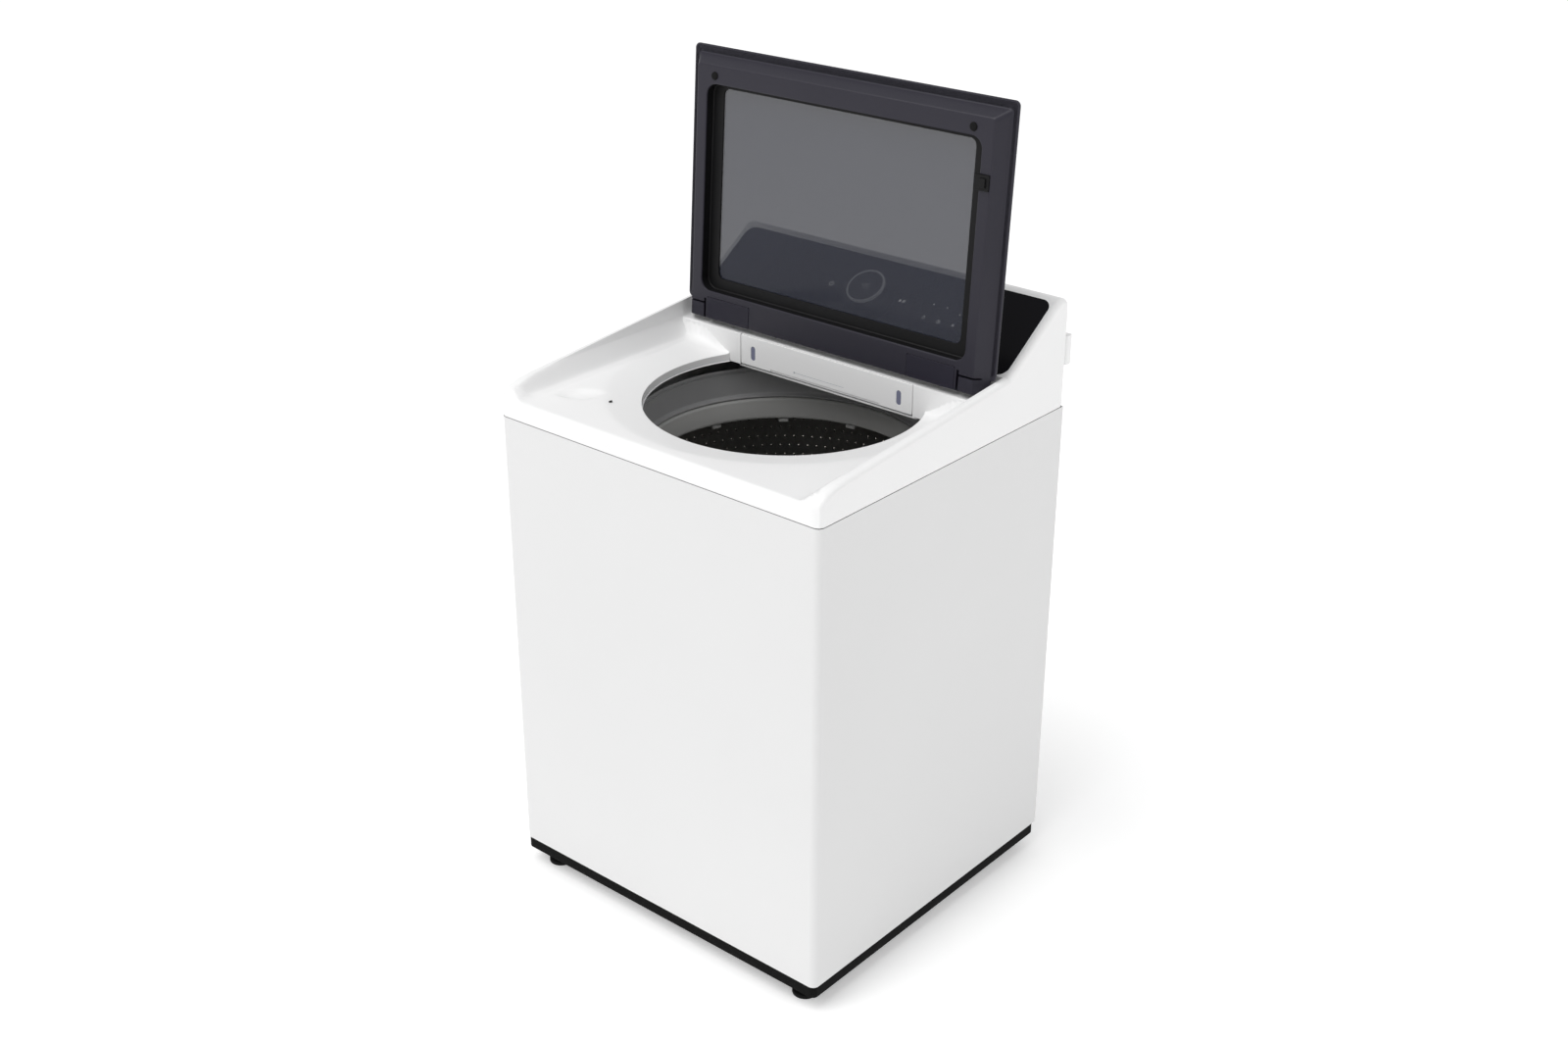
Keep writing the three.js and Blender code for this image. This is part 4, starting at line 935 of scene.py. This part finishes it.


# Plain signs only: on, run and pause, drop, clock and leaf, with a small lamp above each. The signs glow
# with painted light from their print finish; the lamps share it.
def panelSymbols():
    c = console
    strips = []
    px, pd = c["power"]
    strips += [arcStrip(px, -pd, 4.2, 1.0, 125, 415), bar(px, -pd + 0.6, px, -pd + 5.6, 1.0)]
    sx, sd = c["pause"]
    strips += [[(sx - 6, -sd + 3.6), (sx - 0.6, -sd), (sx - 6, -sd - 3.6)],
               bar(sx + 2, -sd + 3.6, sx + 2, -sd - 3.6, 1.6),
               bar(sx + 5.2, -sd + 3.6, sx + 5.2, -sd - 3.6, 1.6)]
    for x, down in c["dots"]:
        strips.append(arcStrip(x, -down, 0.75, 1.3, 0, 350, 12))
    for (x, down), kind in zip(c["marks"], ("drop", "clock", "leaf")):
        if kind == "drop":
            strips += [arcStrip(x, -down - 0.8, 2.4, 0.8, -215, 35),
                       bar(x - 2.0, -down + 0.7, x, -down + 4.2, 0.8),
                       bar(x + 2.0, -down + 0.7, x, -down + 4.2, 0.8)]
        if kind == "clock":
            strips += ringStrips(x, -down, 3.2, 0.8)
            strips += [bar(x, -down, x, -down + 2.3, 0.7), bar(x, -down, x + 1.7, -down - 0.8, 0.7)]
        if kind == "leaf":
            strips += [arcStrip(x - 1.4, -down - 1.4, 4.2, 0.8, 0, 90),
                       arcStrip(x + 2.8, -down + 2.8, 4.2, 0.8, 180, 270),
                       bar(x - 3.0, -down - 3.0, x + 1.4, -down + 1.4, 0.7)]
    meshes = [prism(strip, 0.01, c["skin"], laySlope) for strip in strips]
    keep("panel_signs", joined(*meshes), "print", "cabinet")
    # The dial's figures are grey print with a painted glow.
    digits = []
    lit = {"4": "fgbc", "5": "afgcd"}
    for digit, x0 in (("4", -7.2), ("5", 1.2)):
        w, h, y0 = 5.4, 5.6, -c["dialDown"] - 5.6
        ends = {"a": (0, 2, 1, 2), "b": (1, 1, 1, 2), "c": (1, 0, 1, 1), "d": (0, 0, 1, 0),
                "f": (0, 1, 0, 2), "g": (0, 1, 1, 1)}
        for name in lit[digit]:
            ax, ay, bx, by = ends[name]
            digits.append(prism(bar(x0 + ax * w, y0 + ay * h, x0 + bx * w, y0 + by * h, 0.9),
                                c["dialHeight"] - 1.58, c["dialHeight"] - 1.42, laySlope))
    keep("dial_figures", joined(*digits), "greyPrintPaintedGlow", "dial")


controlGlass()
dialPieces()
panelSymbols()
print("console made")


drawer = {"half": 188, "low": 893, "top": 946.5, "frontY": 104, "backY": 108.2,
          "slotX": 160, "slotZ": 917, "slotWide": 9, "slotTall": 25, "grip": 120,
          "line": (-65.6, 43.2), "lineDown": 12, "spot": 1.8}


def drawerFront():
    c = drawer

    def layFront(x, z, y):
        return place(x, y, z)

    def window(x, grow, y0, y1):
        w, h = c["slotWide"] / 2 + grow, c["slotTall"] / 2 + grow
        return prism(roundRect(x - w, x + w, c["slotZ"] - h, c["slotZ"] + h, w - 0.01, 10), y0, y1,
                     layFront, 0)

    face = prism(roundRect(-c["half"], c["half"], c["low"], c["top"], 2.6, 6), c["frontY"], c["backY"],
                 layFront, 0.9, 3)
    cuts = [window(side * c["slotX"], 0.5, 95, 105.6) for side in (-1, 1)]
    cuts.append(prism(roundRect(-c["grip"], c["grip"], c["low"] - 4, c["low"] + 4, 2, 4), 100, 105.4,
                      layFront))
    face = boolean(face, *cuts)
    sharpen(face)
    keep("drawer_face", face, "whitePlastic", "drawer", ("drawer_front",))
    panes = [window(side * c["slotX"], 0.35, 104.7, 107) for side in (-1, 1)]
    keep("drawer_windows", joined(*panes), "slotBlue", "drawer")
    first, last = c["line"]
    lineZ = c["slotZ"] - c["lineDown"]
    mark = prism(bar(first, lineZ, last, lineZ, 0.7), 103.86, 104.4, layFront)
    disc = [(first + c["spot"] * math.cos(a), lineZ + c["spot"] * math.sin(a))
            for a in np.linspace(0, 2 * math.pi, 25)[:-1]]
    spot = prism(disc, 103.84, 104.4, layFront)
    keep("level_mark", joined(mark, spot), "lightGrey", "drawer")
    soften("drawer_tray", "drawer_bin", "whitePlastic", "drawer", 0.8, 3)
    for name in ("detergent", "softener"):
        soften(name + "_cap", name + "_cover", "lightGrey", "drawer", 0.5, 2)


drawerFront()
print("drawer made")


tub = {"notches": 12}
basket = {"radius": 277, "sheet": 0.8, "low": 262, "top": 808}


def tubCover():
    profile = rounded([(300, 822.3, 0), (300, 828, 1.5), (262, 834, 5), (258.4, 866, 1.5),
                       (255, 867.2, 1.2), (253.2, 865, 0.8), (253.2, 861.4, 0.5), (255.9, 860.8, 0.3),
                       (255.9, 858.6, 0.3), (253.6, 857.6, 0.5), (249, 819, 2), (243, 815, 1.5),
                       (243, 812.4, 1), (252, 812.4, 1), (262, 829, 2), (296.5, 822.3, 0)], 1.0, 5)
    keep("tub_collar", turn(profile, 160), "tubGrey", "tub", ("tub_cover",))


# The balance ring, in a tub grey lightened as painted light against the shade in the tub.
def balanceRing():
    profile = rounded([(275.9, 770, 1), (275.9, 807, 1), (272.9, 810, 1.5), (258, 810.8, 0),
                       (243, 811, 4), (240, 808, 3), (236.4, 790, 8), (235, 778, 3), (236, 774, 2),
                       (262, 770, 2)], 1.0, 5)
    ring = turn(profile, 192)
    tabs = []
    for k in range(tub["notches"]):
        angle = 2 * math.pi * (k + 0.35) / tub["notches"]
        outline = rounded([(238, -9), (262, -9), (262, 9), (238, 9)], 2.5, 4)
        spun = [(x * math.cos(angle) - y * math.sin(angle), x * math.sin(angle) + y * math.cos(angle))
                for x, y in outline]
        tabs.append(prism(spun, 766, 772, bevel=0.8))
    keep("balance_band", joined(ring, *tabs), "ringGreyPaintedLight", "basket", ("balance_ring",))


def basketDrum():
    r, t, low, top = basket["radius"], basket["sheet"], basket["low"], basket["top"]
    profile = rounded([(52, low, 0), (r - 26, low, 6), (r - 8, low + 8, 8), (r, low + 26, 8),
                       (r, top, 0.2), (r - t, top, 0.2), (r - t, low + 26, 8), (r - 8.7, low + 8.7, 8),
                       (r - 26, low + t, 6), (52, low + t, 0)], 1.0, 5)
    keep("basket_wall", turn(profile, 160), "stainless", "basket", ("basket_drum",))


holes = {"rows": 26, "around": 104, "radius": 2.3, "low": 312, "top": 758, "stand": 0.35}


# A node tree with named inputs, which gives a plain mesh.
class Growth:
    def __init__(self, name, **inputs):
        self.tree = bpy.data.node_groups.new(name, "GeometryNodeTree")
        face = self.tree.interface
        face.new_socket("Geometry", in_out="OUTPUT", socket_type="NodeSocketGeometry")
        self.sockets = {}
        for label, kind in inputs.items():
            made = face.new_socket(label, in_out="INPUT", socket_type="NodeSocket" + kind)
            self.sockets[label] = made.identifier
        self.given = self.add("NodeGroupInput").outputs

    def add(self, kind, settings=None, links=None):
        made = self.tree.nodes.new(kind)
        for key, value in (settings or {}).items():
            setattr(made, key, value)
        for key, value in (links or {}).items():
            if hasattr(value, "is_output"):
                self.tree.links.new(value, made.inputs[key])
            else:
                made.inputs[key].default_value = value
        return made

    def sums(self, operation, a, b=0.0):
        return self.add("ShaderNodeMath", {"operation": operation}, {0: a, 1: b}).outputs[0]

    # The copies made real and given their finish, then the tree run once with these values.
    def grow(self, copies, **values):
        real = self.add("GeometryNodeRealizeInstances", None, {0: copies.outputs[0]})
        dressed = self.add("GeometryNodeSetMaterial", None, {"Geometry": real.outputs[0],
                                                             "Material": self.given["finish"]})
        end = self.add("NodeGroupOutput")
        self.tree.links.new(dressed.outputs[0], end.inputs[0])
        helper = bpy.data.objects.new("helper", bpy.data.meshes.new("empty"))
        bpy.context.collection.objects.link(helper)
        modifier = helper.modifiers.new(self.tree.name, "NODES")
        modifier.node_group = self.tree
        for label, value in values.items():
            modifier[self.sockets[label]] = value
        mesh = plainMesh(helper)
        bpy.data.objects.remove(helper)
        return mesh


# Pressed drain holes, staggered row by row, set on the drum by a node tree.
def basketHoles():
    c = holes
    g = Growth("drumHoles", rows="Int", around="Int", drumRadius="Float", low="Float", high="Float",
               holeRadius="Float", centreY="Float", finish="Material")
    given, sums = g.given, g.sums
    total = sums("MULTIPLY", given["rows"], given["around"])
    line = g.add("GeometryNodeMeshLine", {"mode": "OFFSET"}, {"Count": total})
    index = g.add("GeometryNodeInputIndex").outputs[0]
    row = sums("FLOOR", sums("DIVIDE", index, given["around"]))
    column = sums("SUBTRACT", index, sums("MULTIPLY", row, given["around"]))
    stagger = sums("MULTIPLY", sums("MODULO", row, 2.0), 0.5)
    angle = sums("MULTIPLY", sums("DIVIDE", sums("ADD", column, stagger), given["around"]), 2 * math.pi)
    share = sums("DIVIDE", row, sums("SUBTRACT", given["rows"], 1.0))
    height = sums("ADD", given["low"],
                  sums("MULTIPLY", share, sums("SUBTRACT", given["high"], given["low"])))
    x = sums("MULTIPLY", sums("COSINE", angle), given["drumRadius"])
    y = sums("ADD", sums("MULTIPLY", sums("SINE", angle), given["drumRadius"]), given["centreY"])
    spot = g.add("ShaderNodeCombineXYZ", None, {0: x, 1: y, 2: height}).outputs[0]
    moved = g.add("GeometryNodeSetPosition", None, {"Geometry": line.outputs[0], "Position": spot})
    points = g.add("GeometryNodeMeshToPoints", None, {"Mesh": moved.outputs[0]})
    disc = g.add("GeometryNodeMeshCone", {"fill_type": "NGON"}, {
        "Vertices": 8, "Radius Top": 0.0012, "Radius Bottom": given["holeRadius"], "Depth": 0.0007})
    turnUp = g.add("FunctionNodeAxisAngleToRotation", None, {"Axis": (0, 1, 0), "Angle": -math.pi / 2})
    turnIn = g.add("FunctionNodeAxisAngleToRotation", None, {"Axis": (0, 0, 1), "Angle": angle})
    aim = g.add("FunctionNodeRotateRotation", {"rotation_space": "GLOBAL"},
                {"Rotation": turnUp.outputs[0], "Rotate By": turnIn.outputs[0]})
    copies = g.add("GeometryNodeInstanceOnPoints", None, {
        "Points": points.outputs[0], "Instance": disc.outputs["Mesh"], "Rotation": aim.outputs[0]})
    inner = (basket["radius"] - basket["sheet"] - c["stand"]) * mm
    mesh = g.grow(copies, rows=c["rows"], around=c["around"], drumRadius=inner, low=c["low"] * mm,
                  high=c["top"] * mm, holeRadius=c["radius"] * mm, centreY=planY, finish=paint["holeSteel"])
    keep("basket_holes", mesh, "holeSteel", "basket")


tubCover()
balanceRing()
basketDrum()
basketHoles()
soften("pulsator", "wash_plate", "pulsatorGrey", "agitation", 2.2, 3, 30)
print("drum made")


quarters = [(sx, sy, along + "_" + across) for sx, across in ((-1, "left"), (1, "right"))
            for sy, along in ((-1, "front"), (1, "rear"))]


foot = {"x": 293, "y": 286}
spring = {"x": 264, "y": 250, "wire": 2.2, "radius": 13, "turns": 5, "steps": 150, "sides": 10,
          "seats": (250, 306)}
sleeve = {"x": 196, "y": 120, "ends": (146, 184)}


def feet():
    profile = rounded([(0, 0), (22, 0), (22, 7), (12, 10), (12, 19), (5.7, 19), (5.7, 64), (0, 64)], 1.4, 4)
    for sx, sy, name in quarters:
        pad = turn(profile, 48, centre=(sx * foot["x"], sy * foot["y"]))
        keep("levelling_pad_" + name, pad, "rubber", "foot_" + name, ("foot_" + name,))


# A piece between cabinet and tub.
def stretched(name, mesh, material, node, start, end):
    mesh.name = name
    mesh.materials.clear()
    mesh.materials.append(paint[material])
    piece = bpy.data.objects.new(name, mesh)
    bpy.context.collection.objects.link(piece)
    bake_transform(piece)
    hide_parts(node)


# Each helix is a swept tube.
def springs():
    wire, radius, turns, steps, sides = (spring[key]
                                         for key in ("wire", "radius", "turns", "steps", "sides"))
    seatLow, seatHigh = spring["seats"]
    gap = wire + 0.3
    low, high = seatLow + 1 + gap, seatHigh - gap
    for sx, sy, name in quarters:
        cx, cy = sx * spring["x"], sy * spring["y"]
        points, faces = [], []
        for i in range(steps + 1):
            angle = 2 * math.pi * turns * i / steps
            z = low + (high - low) * i / steps
            for k in range(sides):
                spin = 2 * math.pi * k / sides
                reach = radius + wire * math.cos(spin)
                points.append(place(cx + reach * math.cos(angle), cy + reach * math.sin(angle),
                                    z + wire * math.sin(spin)))
        for i in range(steps):
            for k in range(sides):
                n = (k + 1) % sides
                faces.append((i * sides + k, i * sides + n, (i + 1) * sides + n, (i + 1) * sides + k))
        faces += [tuple(range(sides)), tuple(range(steps * sides, (steps + 1) * sides))]
        mesh = meshOf(points, faces)
        sharpen(mesh)
        stretched("coil_" + name, mesh, "brightSteel", "suspension_spring_" + name,
                  place(cx, cy, seatLow), place(cx, cy, seatHigh))


# The rubber sleeve between tub and pump.
def sumpSleeve():
    mesh = nodeCopy("sump_bellows", joinFlats=False)
    sharpen(mesh, 50)
    stretched("sump_sleeve", mesh, "rubber", "sump_bellows",
              *(place(sleeve["x"], sleeve["y"], z) for z in sleeve["ends"]))


# Solids whose CAD shape is already right: edges rounded and curved walls smoothed.
def softenedNodes():
    jobs = [
        ("cabinet_shell", "whitePaint", "cabinet", 0.4), ("base_frame", "baseBlack", "cabinet", 1.2),
        ("console_back", "whitePlastic", "cabinet", 1.0), ("rear_panel", "zincSteel", "cabinet", 0.3),
        ("cord_gland", "blackPlastic", "cabinet", 0.6), ("drain_outlet", "blackPlastic", "cabinet", 0.6),
        ("inlet_valve_hot", "whitePlastic", "cabinet", 0.3),
        ("inlet_valve_cold", "whitePlastic", "cabinet", 0.3),
        ("outer_tub", "tubGrey", "tub", 1.0), ("bearing_housing", "castAluminium", "tub", 1.5),
        ("basket_hub", "castAluminium", "basket", 1.5), ("spin_tube", "brightSteel", "basket", 0.5),
        ("motor_rotor", "zincSteel", "agitation", 1.0), ("drive_shaft", "brightSteel", "agitation", 0.5),
        ("drain_pump", "whitePlastic", "cabinet", 1.0), ("pump_cap", "blackPlastic", "cabinet", 0.8),
        ("drain_hose", "rubber", "cabinet", 0.3), ("dispenser_housing", "whitePlastic", "cabinet", 0),
        ("lid_lock", "blackPlastic", "cabinet", 0.6), ("pressure_sensor", "whitePlastic", "cabinet", 0.6),
        ("control_board", "board", "cabinet", 0.3), ("clutch_coupler", "blackPlastic", "clutch", 0.5),
        ("stator", "winding", "tub", 0.8), ("pump_impeller", "whitePlastic", "impeller", 0.5),
    ]
    jobs += [("suspension_rod_" + name, "zincSteel", "cabinet", 0.4) for _, _, name in quarters]
    for node, material, body, width in jobs:
        soften(node, node + "_finish", material, body, width, 2, 40)


back = {
    "panelY": 321.5, "plateY": 323.4, "ribs": (250, 480, 710), "ribHalf": 262, "ribWide": 10,
    "ribProud": 1.6, "screw": (4.6, 4.6, 1.9), "screwX": 331, "screwLow": 92, "screwStep": 152,
    "screwCount": 6, "topX": -310, "topStep": 124, "topCount": 6, "topZ": 1043, "louvre": (3.4, 54, 0.5),
    "louvreX": -90, "louvreStep": 9, "louvreCount": 16, "louvreZ": 950,
}


# Equal pieces set out in a line on the back by a node tree.
def rowOf(name, kind, count, start, step, size, finish):
    g = Growth(name, count="Int", start="Vector", step="Vector", size="Vector", finish="Material")
    line = g.add("GeometryNodeMeshLine", {"mode": "OFFSET"}, {
        "Count": g.given["count"], "Start Location": g.given["start"], "Offset": g.given["step"]})
    cone = {"Vertices": 24, "Radius Top": 0.66, "Radius Bottom": 1.0, "Depth": 1.0}
    shape = g.add(kind, None, cone if kind == "GeometryNodeMeshCone" else None)
    copies = g.add("GeometryNodeInstanceOnPoints", None, {
        "Points": line.outputs[0], "Instance": shape.outputs["Mesh"], "Rotation": (-math.pi / 2, 0, 0),
        "Scale": g.given["size"]})
    return g.grow(copies, count=count, start=place(*start), step=[v * mm for v in step],
                  size=[v * mm for v in size], finish=paint[finish])


# Pressed ribs and screws of the rear sheet, and dark bars on the console's back: painted shade for its air
# slots.
def backDetails():
    c = back

    def onSheet(x, z, n):
        return place(x, c["panelY"] + n, z)

    ribs = [prism(roundRect(-c["ribHalf"], c["ribHalf"], z - c["ribWide"], z + c["ribWide"], c["ribWide"]
                            - 0.1, 8), -0.3, c["ribProud"], onSheet, 1.3, 4) for z in c["ribs"]]
    keep("panel_ribs", joined(*ribs), "zincSteel", "cabinet")
    cone = "GeometryNodeMeshCone"
    rows = [rowOf("screwRow", cone, c["screwCount"], (side * c["screwX"], c["panelY"] - 0.1, c["screwLow"]),
                  (0, 0, c["screwStep"]), c["screw"], "zincSteel") for side in (-1, 1)]
    rows.append(rowOf("topRow", cone, c["topCount"], (c["topX"], c["plateY"] - 0.1, c["topZ"]),
                      (c["topStep"], 0, 0), c["screw"], "zincSteel"))
    keep("panel_screws", joined(*rows), "zincSteel", "cabinet")
    # The air slots are thin dark blocks, painted shade, not openings.
    slots = rowOf("louvreRow", "GeometryNodeMeshCube", c["louvreCount"],
                  (c["louvreX"], c["plateY"], c["louvreZ"]),
                  (c["louvreStep"], 0, 0), c["louvre"], "paintedSlotShade")
    keep("console_louvres", slots, "paintedSlotShade", "cabinet")


feet()
springs()
sumpSleeve()
softenedNodes()
backDetails()
print("cabinet and works made")

camera = {"azimuth": 40.24, "elevation": 25.15, "roll": 0.22, "lens": 45.084375,
          "place": (1973.30, -2331.05, 2114.33)}


def addCamera():
    a, e, r = (math.radians(camera[key]) for key in ("azimuth", "elevation", "roll"))
    back = Vector((math.sin(a) * math.cos(e), -math.cos(a) * math.cos(e), math.sin(e)))
    right = Vector((0, 0, 1)).cross(back).normalized()
    up = back.cross(right)
    across = right * math.cos(r) + up * math.sin(r)
    above = up * math.cos(r) - right * math.sin(r)
    lens = bpy.data.cameras.new("camera")
    lens.sensor_width = 36
    lens.lens = camera["lens"]
    lens.clip_end = 60
    eye = bpy.data.objects.new("camera", lens)
    turned = Matrix((across, above, back)).transposed().to_4x4()
    eye.matrix_world = Matrix.Translation(place(*camera["place"])) @ turned
    bpy.context.collection.objects.link(eye)
    bpy.context.scene.camera = eye


def addFloor():
    size = 40
    mesh = meshOf([(-size, -size, 0), (size, -size, 0), (size, size, 0), (-size, size, 0)], [(0, 1, 2, 3)],
                  False)
    floor = bpy.data.objects.new("floor", mesh)
    shade = Shade("floorWhite", Roughness=0.9, Base_Color=rgb(0.9, 0.9, 0.9), Emission_Color=rgb(1, 1, 1),
                  Emission_Strength=0.30)
    mesh.materials.append(shade.material)
    bpy.context.collection.objects.link(floor)


lamps = [
    {"name": "topLight", "where": (-0.3, -0.9, 3.4), "aim": (0, 0, 0.9), "size": 1.8, "power": 12},
    {"name": "frontLight", "where": (-1.4, -3.6, 3.8), "aim": (0, 0, 1.0), "size": 2.4, "power": 13},
    {"name": "sideLight", "where": (3.4, 0.2, 3.2), "aim": (0, 0, 0.9), "size": 2.0, "power": 16},
    {"name": "backLight", "where": (-0.6, 4.6, 3.0), "aim": (0, 0, 0.8), "size": 3.4, "power": 22},
]
sun = {"from": (-0.2, -0.55, 0.85), "strength": 1.15, "angle": 50}


def addLamps():
    for lamp in lamps:
        light = bpy.data.lights.new(lamp["name"], "AREA")
        light.size = lamp["size"]
        light.energy = lamp["power"]
        holder = bpy.data.objects.new(lamp["name"], light)
        holder.location = lamp["where"]
        aim = Vector(lamp["aim"]) - holder.location
        holder.rotation_mode = "QUATERNION"
        holder.rotation_quaternion = aim.to_track_quat("-Z", "Y")
        bpy.context.collection.objects.link(holder)


def addSun():
    light = bpy.data.lights.new("skyLight", "SUN")
    light.energy = sun["strength"]
    light.angle = math.radians(sun["angle"])
    holder = bpy.data.objects.new("skyLight", light)
    holder.rotation_mode = "QUATERNION"
    holder.rotation_quaternion = (-Vector(sun["from"])).to_track_quat("-Z", "Y")
    bpy.context.collection.objects.link(holder)


def addWorld():
    world = bpy.data.worlds.new("studio")
    world.use_nodes = True
    sky = world.node_tree.nodes["Background"]
    sky.inputs[0].default_value = (1, 1, 1, 1)
    sky.inputs[1].default_value = 0.55
    bpy.context.scene.world = world


addCamera()
addFloor()
addLamps()
addSun()
addWorld()
bpy.context.scene.view_settings.view_transform = "Standard"
print("camera and light made")

mainFinish = {}
for finish, slot in slotOf.items():
    mainFinish.setdefault(slot, finish)
for part in frame["record"]["subparts"]:
    cadNode = frame["nodes"][part["node"]]
    finish = paint[mainFinish[part["material_slot"]]]
    if not cadNode.material_slots:
        cadNode.data.materials.append(finish)
    for spot in cadNode.material_slots:
        spot.material = finish
print("CAD nodes painted")
